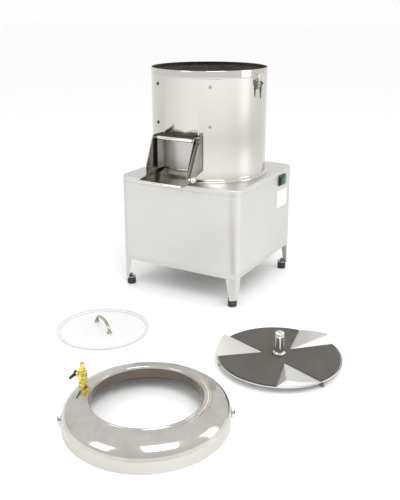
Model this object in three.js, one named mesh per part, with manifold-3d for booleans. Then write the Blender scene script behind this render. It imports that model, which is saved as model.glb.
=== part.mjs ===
// A floor-standing batch peeler for root vegetables: a stainless drum on a square cabinet that holds
// the belt drive, with its lid, its spray ring and its abrasive disc lifted off and laid on the floor.
// Millimetres, +Z up. Each sub-assembly is built around the drum's axis and placed by its group.
import * as THREE from "three";
import { ConvexGeometry } from "three/addons/geometries/ConvexGeometry.js";
import { mergeVertices } from "three/addons/utils/BufferGeometryUtils.js";
import Module from "manifold-3d";

const wasm = await Module();
wasm.setup();

// Clearances
const gap = 0.3; // between pieces that touch
const runningGap = 1.5; // between a moving piece and its neighbour
const holeGap = 0.8; // round a pipe or a gland in its hole
const past = 30; // how far a cutter runs past what it cuts

// Cabinet
const cabinetWidth = 500;
const cabinetDepth = 500;
const cabinetCorner = 38; // radius of the upright corners
const cabinetEdge = 4; // radius of the edge round the top
const sheet = 2; // thickness of the cabinet's sheet
const legHeight = 110; // floor to the cabinet's bottom edge
const cabinetHeight = 330;
const cabinetTop = legHeight + cabinetHeight;
const rearOpening = { side: 52, low: 22, high: 22 }; // margins round the opening
const rearPanel = { overlap: 10, thickness: 1.5 };
const louvre = { columns: 2, rows: 6, low: 110, length: 120, slot: 5, pitch: 18, offset: 95 };

// Legs and feet
const leg = { sheet: 3, topArm: 42, footArm: 27, inset: 1.5, platform: 4 };
const foot = { radius: 16.5, height: 26, inset: 26, stud: 5, studLength: 16 };
const baseFrame = { width: 60, thickness: 4 };

// Drum
const drumRadius = 218;
const drumWall = 2;
const drumHeight = 400;
const drumFoot = { reach: 9, height: 9 };
const rimBand = { height: 29, proud: 1 };
const liner = { thickness: 6, topMargin: 16 };
const chamberFloor = { thickness: 3, upstand: 15, collarRadius: 30, collarHeight: 22 };
const linerBolt = { radius: 6, head: 3.2, shank: 3, angles: [-120, -60], drops: [195, 55] };

// Discharge opening, chute and door
const doorSill = 46; // above the cabinet's top
const doorHeight = 108;
const doorHalfWidth = 72.5;
const doorDepth = 32; // drum's surface to the hinge line
const doorSheet = 2;
const hingeRodRadius = 4;
const knuckleWall = 2.5;
const cheekHalfWidth = 84; // inner faces of the chute's cheeks
const cheekMargin = 12; // cheek past the hinge line, forwards and upwards
const chuteReach = 139; // drum's surface to the lip's centre
const cheekReach = 91;
const lipRadius = 4.5;
const doorLever = { thickness: 5, width: 16, hub: 11, length: 138, angle: 28 };
const doorKnobRadius = 11;
const sealDepth = 24;

// Toggle latches, one on each side of the drum
const latchAngle = -8;
const latch = { pinRadius: 2.2, pinDrop: 50, standOff: 12, armDrop: 11, armOut: 1.5 };
const latchPlate = { width: 26, above: 17, below: 22, thickness: 2, ear: 2, earRadius: 7 };
const latchLever = { halfWidth: 5, length: 56, thickness: 4 };
const bail = { wire: 1.6, halfWidth: 12, height: 45 };

// Drive
const shaftRadius = 12.5;
const shaftHoleGap = 8; // round the shaft in the cabinet's top
const sealRoom = 11.5; // between the shaft and the chamber floor's collar
const driveHead = { side: 16, height: 22 };
const shaftTop = 38; // round part above the cabinet's top
const bearing = { outer: 26, width: 15, upperDrop: 10, lowerDrop: 120 };
const housing = { wall: 16, length: 140, flangeRadius: 70, flange: 10, shoulder: 4 };
const pulleyDrop = 227; // cabinet's top to the belt's middle
const mainPulleyRadius = 120;
const motorPulleyRadius = 28;
const pulleyWidth = 22;
const belt = { width: 10, depth: 8, sideGap: 1, seat: 0.8 };
const motorDistance = 165;
const motorAngle = 225;
const motor = { radius: 66, core: 56, fins: 12, height: 150, shaft: 9.5, coverHeight: 34 };
const motorPlate = { radius: 94, thickness: 5, postRadius: 6, postCircle: 84, hole: 24 };

// Waste pipe, behind the drive
const wastePipe = { outer: 30, wall: 2, place: 150, bend: 45, drop: 40, reach: 40 };

// Switch, plate and cable gland on the cabinet
const switchBox = { drop: 20, height: 40, fromRear: 143, width: 60, proud: 5, depth: 42, frame: 4 };
const buttonTravel = 3;
const plate = { drop: 80, height: 67, fromRear: 158, width: 95, thickness: 0.8 };
const gland = { radius: 8, bore: 4.5, nut: 13, nutHeight: 8, dome: 10, x: 150, height: 50 };

// Loose pieces
const ringSkirtHeight = 35;
const ringWall = 1.8;
const ringOpening = 150; // radius
const ringRise = 41;
const ringFit = 1.2;
const ringCollar = 32;
const ringTurn = 34;
const catchPlate = { width: 16, low: 6, height: 24, reach: 10, ledge: 15.5, lip: 6 };
const valveAngle = 155;
const valve = { nipple: 8, nut: 14, body: 13, bodyHeight: 24, top: 6.5, topHeight: 24, bore: 4, rise: 10 };
const valveHandle = { stem: 4, reach: 14, thickness: 5, length: 30, width: 9 };
const discGap = 18; // disc's edge to the liner
const discPlate = 3;
const discRise = 22; // floor to the disc's plate
const abrasive = { thickness: 2, margin: 5, hole: 15 };
const wave = { start: 50, halfAngle: 21.5, peakAngle: -13, height: 26 };
const post = { radius: 14, height: 76, groove: 1.6, hex: 21, hexHeight: 8 };
const sweeper = { thickness: 5, arm: 9, tab: 16, margin: 3, angle: 25 };
const discTurn = 72;
const lidOverlap = 5; // lid past the ring's opening
const lidPlug = { fit: 4, depth: 4 };
const lidThickness = 5;
const lidHandle = { span: 104, rise: 34, radius: 5, foot: 8, turn: -29 };

// Where the loose pieces lie, from the drum's axis
const lidPlace = { x: -65, y: -617 };
const discPlace = { x: 542, y: -527 };
const ringBearing = -110.5; // direction from the disc to the ring
const looseGap = 84; // between the disc and the ring

// Segments of round surfaces
const fine = 40;
const medium = 20;
const small = 12;
const tiny = 8;

const degrees = Math.PI / 180;

const finish = (color, roughness, metalness) =>
  new THREE.MeshStandardMaterial({ color, roughness, metalness });
const stainless = finish(0xc8c5be, 0.35, 1);
const castSteel = finish(0x8d8d8b, 0.5, 1);
const chrome = finish(0xe2dfd8, 0.12, 1);
const brass = finish(0xb59a3c, 0.3, 1);
const rubber = finish(0x1f1f1e, 0.85, 0);
const grit = finish(0x55514d, 0.95, 0);
const blackPlastic = finish(0x202221, 0.5, 0);
const greenPlastic = finish(0x2f8f6a, 0.4, 0);
const whitePlate = finish(0xf2f2ee, 0.5, 0);
const motorPaint = finish(0x5b6670, 0.5, 0.2);
const acrylic = new THREE.MeshStandardMaterial({
  color: 0xf2f5f6,
  roughness: 0.05,
  metalness: 0,
  transparent: true,
  opacity: 0.3,
});

// Solids

function solidOf(geometry) {
  const bare = geometry.index ? geometry.toNonIndexed() : geometry.clone();
  bare.deleteAttribute("normal");
  bare.deleteAttribute("uv");
  const merged = mergeVertices(bare, 1e-4);
  const vertProperties = merged.attributes.position.array;
  const triVerts = new Uint32Array(merged.index.array);
  const made = new wasm.Manifold(new wasm.Mesh({ numProp: 3, vertProperties, triVerts }));
  if (made.volume() >= 0) return made;
  const turned = new Uint32Array(triVerts.length);
  for (let i = 0; i < triVerts.length; i += 3) {
    turned[i] = triVerts[i];
    turned[i + 1] = triVerts[i + 2];
    turned[i + 2] = triVerts[i + 1];
  }
  return new wasm.Manifold(new wasm.Mesh({ numProp: 3, vertProperties, triVerts: turned }));
}

function geometryOf(solid) {
  const made = solid.getMesh();
  const geometry = new THREE.BufferGeometry();
  const places = new Float32Array(made.vertProperties);
  geometry.setAttribute("position", new THREE.BufferAttribute(places, 3));
  geometry.setIndex(new THREE.BufferAttribute(new Uint32Array(made.triVerts), 1));
  return geometry.toNonIndexed();
}

function piece(name, material, solid) {
  const geometry = geometryOf(solid);
  geometry.computeVertexNormals();
  const mesh = new THREE.Mesh(geometry, material);
  mesh.name = name;
  return mesh;
}

const join = (...solids) => solids.reduce((whole, next) => whole.add(next));
const cut = (whole, ...tools) => tools.reduce((left, tool) => left.subtract(tool), whole);

function box([x0, x1], [y0, y1], [z0, z1]) {
  const geometry = new THREE.BoxGeometry(x1 - x0, y1 - y0, z1 - z0);
  geometry.translate((x0 + x1) / 2, (y0 + y1) / 2, (z0 + z1) / 2);
  return solidOf(geometry);
}

// A solid of revolution about Z from a list of [radius, height].
function revolve(profile, segments = fine) {
  const points = profile.map(([r, z]) => new THREE.Vector2(r, z));
  return solidOf(new THREE.LatheGeometry(points, segments).rotateX(Math.PI / 2));
}

// The same from a closed ring profile, which returns to its first point.
const ring = (profile, segments = fine) => revolve([...profile, profile[0]], segments);

const pillar = (radius, z0, z1, segments = medium) =>
  revolve([[0, z0], [radius, z0], [radius, z1], [0, z1]], segments);

const tube = (inner, outer, z0, z1, segments = medium) =>
  ring([[inner, z0], [outer, z0], [outer, z1], [inner, z1]], segments);

// A round bar between two points.
function rod(radius, from, to, segments = small) {
  const start = new THREE.Vector3(...from);
  const end = new THREE.Vector3(...to);
  const length = start.distanceTo(end);
  const geometry = new THREE.CylinderGeometry(radius, radius, length, segments);
  const along = end.clone().sub(start).normalize();
  geometry.applyQuaternion(new THREE.Quaternion().setFromUnitVectors(new THREE.Vector3(0, 1, 0), along));
  geometry.translate(...start.add(end).multiplyScalar(0.5).toArray());
  return solidOf(geometry);
}

const outline = (points) => new THREE.Shape(points.map(([u, v]) => new THREE.Vector2(u, v)));

function extrude(shape, depth, curveSegments = tiny) {
  return new THREE.ExtrudeGeometry(shape, { depth, bevelEnabled: false, curveSegments });
}

// An outline in Y and Z carried along X.
function prismX(points, x0, x1) {
  const turn = new THREE.Matrix4().makeBasis(
    new THREE.Vector3(0, 1, 0),
    new THREE.Vector3(0, 0, 1),
    new THREE.Vector3(1, 0, 0),
  );
  return solidOf(extrude(outline(points), x1 - x0).applyMatrix4(turn).translate(x0, 0, 0));
}

const prismZ = (points, z0, z1) => solidOf(extrude(outline(points), z1 - z0).translate(0, 0, z0));

function roundedRectangle(width, depth, radius) {
  const x = width / 2 - radius;
  const y = depth / 2 - radius;
  const shape = new THREE.Shape();
  shape.absarc(x, y, radius, 0, 90 * degrees, false);
  shape.absarc(-x, y, radius, 90 * degrees, 180 * degrees, false);
  shape.absarc(-x, -y, radius, 180 * degrees, 270 * degrees, false);
  shape.absarc(x, -y, radius, 270 * degrees, 360 * degrees, false);
  return shape;
}

// A block with round upright corners and a rounded top edge. Its lower edge is rounded too,
// a good way below z0, so that a cut at z0 leaves straight sides.
function roundedBlock(width, depth, corner, edge, z0, z1) {
  const spare = 3 * edge;
  const geometry = new THREE.ExtrudeGeometry(roundedRectangle(width, depth, corner), {
    depth: z1 - z0 + spare - 2 * edge,
    bevelThickness: edge,
    bevelSize: edge,
    bevelOffset: -edge,
    bevelSegments: 3,
    curveSegments: 6,
  });
  return solidOf(geometry.translate(0, 0, z0 - spare + edge));
}

function turnedGroup(angle, ...meshes) {
  const group = new THREE.Group();
  group.rotation.z = angle * degrees;
  group.add(...meshes);
  return group;
}

// The solid cylinder that pieces outside the drum are cut by, so that they lie on its surface.
const drumZ0 = cabinetTop + gap;
const drumTop = cabinetTop + drumHeight;
const drumSurface = pillar(drumRadius + gap, drumZ0, drumTop, fine);

// Cabinet

const rearHalf = cabinetWidth / 2 - rearOpening.side;

function cabinetShell() {
  const outside = roundedBlock(
    cabinetWidth, cabinetDepth, cabinetCorner, cabinetEdge, legHeight, cabinetTop,
  );
  const inside = roundedBlock(
    cabinetWidth - 2 * sheet,
    cabinetDepth - 2 * sheet,
    cabinetCorner - sheet,
    cabinetEdge - sheet,
    legHeight,
    cabinetTop - sheet,
  );
  const reach = cabinetWidth + cabinetDepth;
  const below = box([-reach, reach], [-reach, reach], [-reach, legHeight]);
  const rear = box(
    [-rearHalf, rearHalf],
    [cabinetDepth / 2 - cabinetCorner / 2, reach],
    [legHeight + rearOpening.low, cabinetTop - rearOpening.high],
  );
  const through = [cabinetTop - past, cabinetTop + past];
  const shaftHole = pillar(shaftRadius + shaftHoleGap, ...through);
  const wasteHole = pillar(wastePipe.outer + holeGap, ...through).translate([0, wastePipe.place, 0]);
  const switchHole = box(
    [cabinetWidth / 2 - past, cabinetWidth / 2 + past],
    [switchY0 + switchBox.frame - gap, switchY1 - switchBox.frame + gap],
    [switchZ0 + switchBox.frame - gap, switchZ1 - switchBox.frame + gap],
  );
  return piece(
    "cabinet_shell",
    stainless,
    cut(outside, inside, below, rear, shaftHole, wasteHole, switchHole),
  );
}

const switchY0 = cabinetDepth / 2 - switchBox.fromRear;
const switchY1 = switchY0 + switchBox.width;
const switchZ1 = cabinetTop - switchBox.drop;
const switchZ0 = switchZ1 - switchBox.height;
const wasteExit = cabinetTop - wastePipe.drop - wastePipe.bend;
const wasteEnd = cabinetDepth / 2 + wastePipe.reach;

function rearCover() {
  const { overlap, thickness } = rearPanel;
  const y0 = cabinetDepth / 2 + gap;
  const half = rearHalf + overlap;
  const z0 = legHeight + rearOpening.low - overlap;
  const z1 = cabinetTop - rearOpening.high + overlap;
  const sheetBody = box([-half, half], [y0, y0 + thickness], [z0, z1]);
  const through = [y0 - past, y0 + past];
  const hole = (radius, x, z, segments) =>
    rod(radius + holeGap, [x, through[0], z], [x, through[1], z], segments);
  const holes = [hole(wastePipe.outer, 0, wasteExit, medium), hole(gland.radius, gland.x, glandZ, small)];
  for (let column = 0; column < louvre.columns; column++) {
    const x = (column - (louvre.columns - 1) / 2) * 2 * louvre.offset;
    for (let row = 0; row < louvre.rows; row++) {
      const z = legHeight + louvre.low + row * louvre.pitch;
      holes.push(
        box([x - louvre.length / 2, x + louvre.length / 2], through, [z, z + louvre.slot]),
      );
    }
  }
  return piece("rear_panel", stainless, cut(sheetBody, ...holes));
}

const glandZ = legHeight + gland.height;

function cableGland() {
  const y0 = cabinetDepth / 2 + gap;
  const face = y0 + rearPanel.thickness + gap;
  const along = (radius, from, to, segments = small) =>
    rod(radius, [gland.x, from, glandZ], [gland.x, to, glandZ], segments);
  const outerNut = along(gland.nut, face, face + gland.nutHeight, 6);
  const dome = along(gland.radius + 2, face + gland.nutHeight, face + gland.nutHeight + gland.dome);
  const thread = along(gland.radius, y0 - sheet - gland.nutHeight, face);
  const innerNut = along(gland.nut, y0 - gap - gland.nutHeight, y0 - gap, 6);
  const bore = along(gland.bore, y0 - past, face + past);
  return piece("cable_gland", blackPlastic, cut(join(outerNut, dome, thread, innerNut), bore));
}

function underFrame() {
  const outer = sheet + gap;
  const z0 = legHeight + gap;
  const shape = roundedRectangle(
    cabinetWidth - 2 * outer, cabinetDepth - 2 * outer, cabinetCorner - outer,
  );
  const inner = roundedRectangle(
    cabinetWidth - 2 * outer - 2 * baseFrame.width,
    cabinetDepth - 2 * outer - 2 * baseFrame.width,
    cabinetCorner / 2,
  );
  shape.holes.push(inner);
  return piece("base_frame", stainless, solidOf(extrude(shape, baseFrame.thickness, 6).translate(0, 0, z0)));
}

// A leg is a folded sheet round the cabinet's corner whose two arms taper down to a small platform
// for the foot. It is built at the corner in +X, +Y and mirrored for the others.
function cabinetLeg(name, signX, signY) {
  const outer = leg.inset;
  const width = cabinetWidth - 2 * outer;
  const depth = cabinetDepth - 2 * outer;
  const shape = roundedRectangle(width, depth, cabinetCorner - outer);
  const inner = roundedRectangle(
    width - 2 * leg.sheet, depth - 2 * leg.sheet, cabinetCorner - outer - leg.sheet,
  );
  shape.holes.push(inner);
  const wall = solidOf(extrude(shape, legHeight - gap - foot.height, 6).translate(0, 0, foot.height));
  const cornerX = cabinetWidth / 2;
  const cornerY = cabinetDepth / 2;
  const taper = new ConvexGeometry(
    [[leg.footArm, foot.height - 1], [leg.topArm, legHeight]].flatMap(([arm, z]) => [
      new THREE.Vector3(cornerX - arm, cornerY + 1, z),
      new THREE.Vector3(cornerX + 1, cornerY - arm, z),
      new THREE.Vector3(cornerX + 1, cornerY + 1, z),
      new THREE.Vector3(cornerX - arm, cornerY - leg.sheet - 6, z),
      new THREE.Vector3(cornerX - leg.sheet - 6, cornerY - arm, z),
    ]),
  );
  const footX = cornerX - foot.inset;
  const footY = cornerY - foot.inset;
  const reach =
    foot.inset * Math.SQRT2 - outer - cabinetCorner * (Math.SQRT2 - 1) - leg.sheet + 1;
  const seat = pillar(reach, foot.height, foot.height + leg.platform, medium).translate([footX, footY, 0]);
  const hole = pillar(foot.stud + holeGap, 0, legHeight, small).translate([footX, footY, 0]);
  const whole = cut(join(wall.intersect(solidOf(taper)), seat), hole);
  return piece(name, stainless, whole.scale([signX, signY, 1]));
}

function rubberFoot(name, signX, signY) {
  const profile = [
    [0, 0],
    [foot.radius, 0],
    [foot.radius, foot.height - 3],
    [foot.radius - 1.5, foot.height - gap],
    [foot.stud, foot.height - gap],
    [foot.stud, foot.height + foot.studLength],
    [0, foot.height + foot.studLength],
  ];
  const mesh = piece(name, rubber, revolve(profile, small));
  mesh.position.set(
    signX * (cabinetWidth / 2 - foot.inset), signY * (cabinetDepth / 2 - foot.inset), 0,
  );
  return mesh;
}

// The switch stands in a hole in the right-hand side.
const buttonY = [0.27, 0.73].map((share) => switchY0 + share * switchBox.width);
const buttonHalf = { y: 11, z: 13 };
const buttonProud = 4.5;

function switchHousing() {
  const x0 = cabinetWidth / 2 + gap;
  const x1 = x0 + switchBox.proud;
  const middle = (switchZ0 + switchZ1) / 2;
  const bezel = box([x0, x1], [switchY0, switchY1], [switchZ0, switchZ1]);
  const body = box(
    [x0 - switchBox.depth, x0 + 1],
    [switchY0 + switchBox.frame, switchY1 - switchBox.frame],
    [switchZ0 + switchBox.frame, switchZ1 - switchBox.frame],
  );
  const wells = buttonY.map((y) =>
    box(
      [x1 - buttonWell, x1 + past],
      [y - buttonHalf.y - gap, y + buttonHalf.y + gap],
      [middle - buttonHalf.z - gap, middle + buttonHalf.z + gap],
    ),
  );
  return piece("switch_housing", blackPlastic, cut(join(bezel, body), ...wells));
}

const buttonWell = 14;

function button(name, material, y) {
  const x1 = cabinetWidth / 2 + gap + switchBox.proud;
  const middle = (switchZ0 + switchZ1) / 2;
  const block = box(
    [x1 - buttonWell + buttonTravel + gap, x1 + buttonProud],
    [y - buttonHalf.y, y + buttonHalf.y],
    [middle - buttonHalf.z, middle + buttonHalf.z],
  );
  return piece(name, material, block);
}

function ratingPlate() {
  const x0 = cabinetWidth / 2 + gap;
  const y0 = cabinetDepth / 2 - plate.fromRear;
  const z0 = cabinetTop - plate.drop - plate.height;
  return piece(
    "rating_plate",
    whitePlate,
    box([x0, x0 + plate.thickness], [y0, y0 + plate.width], [z0, z0 + plate.height]),
  );
}

// Drum

const sillZ = cabinetTop + doorSill;
const doorTopZ = sillZ + doorHeight;

function boltTools(radius, segments = tiny) {
  return linerBolt.angles.flatMap((angle) =>
    linerBolt.drops.map((drop) => {
      const z = drumTop - drop;
      const [x, y] = [Math.cos(angle * degrees), Math.sin(angle * degrees)];
      const [near, far] = [drumRadius - past, drumRadius + past];
      return rod(radius, [x * near, y * near, z], [x * far, y * far, z], segments);
    }),
  );
}

const doorOpening = box(
  [-doorHalfWidth + 4, doorHalfWidth - 4],
  [-2 * drumRadius, -drumRadius / 2],
  [sillZ, doorTopZ],
);

function drumShell() {
  const inner = drumRadius - drumWall;
  const bandZ = drumTop - rimBand.height;
  const wall = ring([
    [inner, drumZ0],
    [drumRadius + drumFoot.reach, drumZ0],
    [drumRadius + drumFoot.reach, drumZ0 + 3],
    [drumRadius + drumFoot.reach / 2, drumZ0 + 7],
    [drumRadius, drumZ0 + drumFoot.height],
    [drumRadius, bandZ],
    [drumRadius + rimBand.proud, bandZ + 1],
    [drumRadius + rimBand.proud, drumTop - 0.6],
    [drumRadius + rimBand.proud - 0.6, drumTop],
    [inner, drumTop],
  ]);
  return piece("drum_shell", stainless, cut(wall, doorOpening, ...boltTools(linerBolt.shank + gap)));
}

const linerOuter = drumRadius - drumWall - gap;
const linerInner = linerOuter - liner.thickness;
const linerZ0 = drumZ0 + chamberFloor.upstand + 2;

function abrasiveLiner() {
  const sleeve = tube(linerInner, linerOuter, linerZ0, drumTop - liner.topMargin, fine);
  return piece("abrasive_liner", grit, cut(sleeve, doorOpening, ...boltTools(linerBolt.shank + gap)));
}

function chamberFloorDish() {
  const bore = shaftRadius + sealRoom;
  const outer = drumRadius - drumWall - gap;
  const z0 = drumZ0;
  const dish = ring([
    [bore, z0],
    [outer, z0],
    [outer, z0 + chamberFloor.upstand],
    [outer - drumWall, z0 + chamberFloor.upstand],
    [outer - drumWall, z0 + chamberFloor.thickness],
    [chamberFloor.collarRadius, z0 + chamberFloor.thickness],
    [chamberFloor.collarRadius, z0 + chamberFloor.collarHeight],
    [bore, z0 + chamberFloor.collarHeight],
  ]);
  const port = pillar(wastePipe.outer - wastePipe.wall, z0 - past, z0 + past)
    .translate([0, wastePipe.place, 0]);
  return piece("chamber_floor", stainless, cut(dish, port));
}

function linerBolts() {
  const meshes = [];
  const { radius, head, shank } = linerBolt;
  linerBolt.angles.forEach((angle) => {
    linerBolt.drops.forEach((drop) => {
      const profile = [
        [0, -drumWall - liner.thickness - 2],
        [shank, -drumWall - liner.thickness - 2],
        [shank, gap],
        [radius, gap],
        [radius, gap + head / 2],
        [radius * 0.6, gap + head],
        [0, gap + head],
      ];
      const mesh = piece(`liner_bolt_${meshes.length + 1}`, stainless, revolve(profile, tiny));
      mesh.rotation.set(0, 90 * degrees, 0);
      mesh.position.set(drumRadius, 0, drumTop - drop);
      meshes.push([angle, mesh]);
    });
  });
  return meshes.map(([angle, mesh]) => turnedGroup(angle, mesh));
}

// Chute and door, in front of the drum

const hingeY = -(drumRadius + doorDepth);
const hingeZ = doorTopZ + hingeRodRadius + knuckleWall;
const knuckle = hingeRodRadius + gap + knuckleWall;
const lipY = -(drumRadius + chuteReach);
const lipZ = cabinetTop + 20;
const cheekFrontY = -(drumRadius + cheekReach);

// The floor's upper face from the drum to the lip, as [y, z].
const floorLine = [
  [-drumRadius / 2, sillZ - 0.5],
  [-drumRadius + 14, sillZ - 1],
  [hingeY - 6, sillZ - 11.5],
  [hingeY - 30, sillZ - 22],
  [cheekFrontY - 2, sillZ - 28],
  [lipY + 12, sillZ - 29],
  [lipY, lipZ + 1],
];

function dischargeChute() {
  const outer = cheekHalfWidth + sheet;
  const under = floorLine.map(([y, z]) => [y, z - sheet]).reverse();
  const floor = prismX([...floorLine, ...under], -outer, outer);
  const lip = rod(lipRadius, [-outer - 2, lipY, lipZ], [outer + 2, lipY, lipZ]);
  const topZ = hingeZ + cheekMargin;
  const cheekLine = [
    [-drumRadius / 2, topZ],
    [hingeY - cheekMargin, topZ],
    [cheekFrontY, sillZ + 21],
    [cheekFrontY - 1, sillZ - 15],
    [lipY + 6, lipZ + 5],
    [lipY, lipZ + 1],
    [lipY, lipZ - 1],
    ...floorLine.slice(0, -1).reverse().map(([y, z]) => [y, z - sheet]),
  ];
  const cheeks = [prismX(cheekLine, -outer, -cheekHalfWidth), prismX(cheekLine, cheekHalfWidth, outer)];
  const rodHole = rod(hingeRodRadius + gap, [-outer - 9, hingeY, hingeZ], [outer + 9, hingeY, hingeZ]);
  return piece("discharge_chute", stainless, cut(join(floor, lip, ...cheeks), drumSurface, rodHole));
}

function doorLeaf() {
  const z0 = sillZ + 1;
  const z1 = doorTopZ + 2;
  const skinInner = drumRadius + 2 * gap;
  const half = doorHalfWidth;
  const front = box([-half, half], [-2 * drumRadius, 0], [z0, z1]);
  const skin = tube(skinInner, skinInner + doorSheet, z0, z1, fine).intersect(front);
  const sideLine = [
    [-drumRadius * 0.8, z0],
    [hingeY - 2, z0],
    [hingeY - 2, hingeZ],
    [hingeY + 2, z1],
    [-drumRadius * 0.8, z1],
  ];
  const sides = [prismX(sideLine, -half, -half + doorSheet), prismX(sideLine, half - doorSheet, half)];
  const top = box([-half, half], [hingeY, -drumRadius * 0.8], [z1 - doorSheet, z1]);
  const barrel = rod(knuckle, [-half, hingeY, hingeZ], [half, hingeY, hingeZ]);
  const bore = rod(hingeRodRadius + gap, [-half - 9, hingeY, hingeZ], [half + 9, hingeY, hingeZ]);
  const drum = pillar(skinInner, 0, 2 * drumTop, fine);
  return piece("door_leaf", stainless, cut(join(skin, ...sides, top, barrel), drum, bore));
}

const rodEnd = cheekHalfWidth + sheet + 14;

function hingeRod() {
  return piece(
    "door_hinge_rod",
    stainless,
    rod(hingeRodRadius, [-cheekHalfWidth - sheet - 6, hingeY, hingeZ], [rodEnd, hingeY, hingeZ]),
  );
}

const leverX0 = cheekHalfWidth + sheet + runningGap + 4;
const leverEnd = {
  y: hingeY - doorLever.length * Math.sin(doorLever.angle * degrees),
  z: hingeZ - doorLever.length * Math.cos(doorLever.angle * degrees),
};

function openingLever() {
  const x1 = leverX0 + doorLever.thickness;
  const half = doorLever.width / 2;
  const [across, down] = [Math.cos(doorLever.angle * degrees), Math.sin(doorLever.angle * degrees)];
  const arm = prismX(
    [
      [hingeY + half * across, hingeZ - half * down],
      [hingeY - half * across, hingeZ + half * down],
      [leverEnd.y - (half * across) / 2, leverEnd.z + (half * down) / 2],
      [leverEnd.y + (half * across) / 2, leverEnd.z - (half * down) / 2],
    ],
    leverX0,
    x1,
  );
  const hub = rod(doorLever.hub, [leverX0 - 3, hingeY, hingeZ], [x1 + 3, hingeY, hingeZ]);
  const bore = rod(hingeRodRadius + gap, [leverX0 - 9, hingeY, hingeZ], [x1 + 9, hingeY, hingeZ]);
  return piece("door_lever", stainless, cut(join(arm, hub), bore));
}

function doorKnob() {
  const x0 = leverX0 + doorLever.thickness + gap;
  const neck = 5;
  const arc = [];
  for (let step = 1; step <= 7; step++) {
    const angle = (-66 + step * 22.3) * degrees;
    arc.push([doorKnobRadius * Math.cos(angle), neck + doorKnobRadius * (0.9 + Math.sin(angle))]);
  }
  const profile = [[0, 0], [5, 0], [5, neck], ...arc.slice(0, -1), [0, neck + 1.9 * doorKnobRadius]];
  const mesh = piece("door_knob", stainless, revolve(profile, small));
  mesh.rotation.set(0, 90 * degrees, 0);
  mesh.position.set(x0, leverEnd.y, leverEnd.z);
  return mesh;
}

// A soft frame on the drum round three sides of the opening, between the door and the cheeks.
function doorSeal() {
  const outer = cheekHalfWidth - gap;
  const inner = doorHalfWidth + runningGap;
  const seatY = -drumRadius * 0.8;
  const frontY = -(drumRadius + sealDepth);
  const z1 = doorTopZ + knuckle + 6;
  const sideLine = [
    [seatY, sillZ + 3],
    [frontY, sillZ + 3],
    [frontY, doorTopZ],
    [-drumRadius - 10, z1],
    [seatY, z1],
  ];
  const sides = [prismX(sideLine, -outer, -inner), prismX(sideLine, inner, outer)];
  const top = box([-outer, outer], [-drumRadius - 10, seatY], [doorTopZ + 2 + runningGap, z1]);
  return piece("door_seal", rubber, cut(join(...sides, top), drumSurface));
}

// Toggle latches, built at +X

const pinRadial = drumRadius + latch.standOff;
const pinZ = drumTop - latch.pinDrop;
const armRadial = pinRadial + latch.armOut;
const armZ = pinZ - latch.armDrop;

// An outline in X and Z carried along Y.
function prismY(points, y0, y1) {
  const turn = new THREE.Matrix4().makeBasis(
    new THREE.Vector3(1, 0, 0),
    new THREE.Vector3(0, 0, 1),
    new THREE.Vector3(0, -1, 0),
  );
  return solidOf(extrude(outline(points), y1 - y0).applyMatrix4(turn).translate(0, y1, 0));
}

function latchBracket(name) {
  const x0 = drumRadius + gap;
  const x1 = x0 + latchPlate.thickness;
  const half = latchPlate.width / 2;
  const back = box([x0, x1], [-half, half], [pinZ - latchPlate.below, pinZ + latchPlate.above]);
  const earLine = [[x0 + 1, pinZ - latchPlate.earRadius], [x0 + 1, pinZ + latchPlate.earRadius]];
  for (let step = 0; step <= 6; step++) {
    const angle = (90 - step * 30) * degrees;
    earLine.push([
      pinRadial + latchPlate.earRadius * Math.cos(angle),
      pinZ + latchPlate.earRadius * Math.sin(angle),
    ]);
  }
  const inner = latchLever.halfWidth + 1;
  const ears = [
    prismY(earLine, inner, inner + latchPlate.ear),
    prismY(earLine, -inner - latchPlate.ear, -inner),
  ];
  const pinHole = rod(latch.pinRadius + gap, [pinRadial, -20, pinZ], [pinRadial, 20, pinZ], tiny);
  return piece(name, stainless, cut(join(back, ...ears), pinHole));
}

function latchHandle(name) {
  const { halfWidth, length, thickness } = latchLever;
  const x0 = pinRadial - thickness / 2;
  const sideLine = [
    [x0 - 1, pinZ + 5],
    [x0 + thickness + 1, pinZ + 5],
    [x0 + thickness + 3, armZ],
    [x0 + thickness + 1, pinZ - length],
    [x0, pinZ - length],
    [x0 - 1, armZ],
  ];
  const blade = prismY(sideLine, -12, 12);
  const faceLine = [
    [-halfWidth, pinZ + 6],
    [-halfWidth, pinZ - 15],
    [-halfWidth - 1.5, pinZ - 22],
    [-2, pinZ - length],
    [2, pinZ - length],
    [halfWidth + 1.5, pinZ - 22],
    [halfWidth, pinZ - 15],
    [halfWidth, pinZ + 6],
  ];
  const face = prismX(faceLine, 0, 2 * drumRadius);
  const endY = latchLever.halfWidth + latchPlate.ear + 1.5;
  const pin = rod(latch.pinRadius, [pinRadial, -endY, pinZ], [pinRadial, endY, pinZ], tiny);
  const hole = rod(bail.wire + gap, [armRadial, -20, armZ], [armRadial, 20, armZ], tiny);
  return piece(name, stainless, cut(join(blade.intersect(face), pin), hole));
}

// The bail is a closed loop of wire whose lower side runs through the lever.
function latchBail(name) {
  const { wire, halfWidth, height } = bail;
  const bar = (from, to) => rod(wire, from, to, 8);
  const low = [armRadial, -halfWidth, armZ];
  const lowFar = [armRadial, halfWidth, armZ];
  const top = [armRadial, -halfWidth, armZ + height];
  const topFar = [armRadial, halfWidth, armZ + height];
  const corners = [low, lowFar, top, topFar].map(([x, y, z]) =>
    solidOf(new THREE.SphereGeometry(wire, 8, 6).translate(x, y, z)),
  );
  const loop = join(bar(low, lowFar), bar(low, top), bar(lowFar, topFar), bar(top, topFar), ...corners);
  return piece(name, chrome, loop);
}

// Drive

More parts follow.
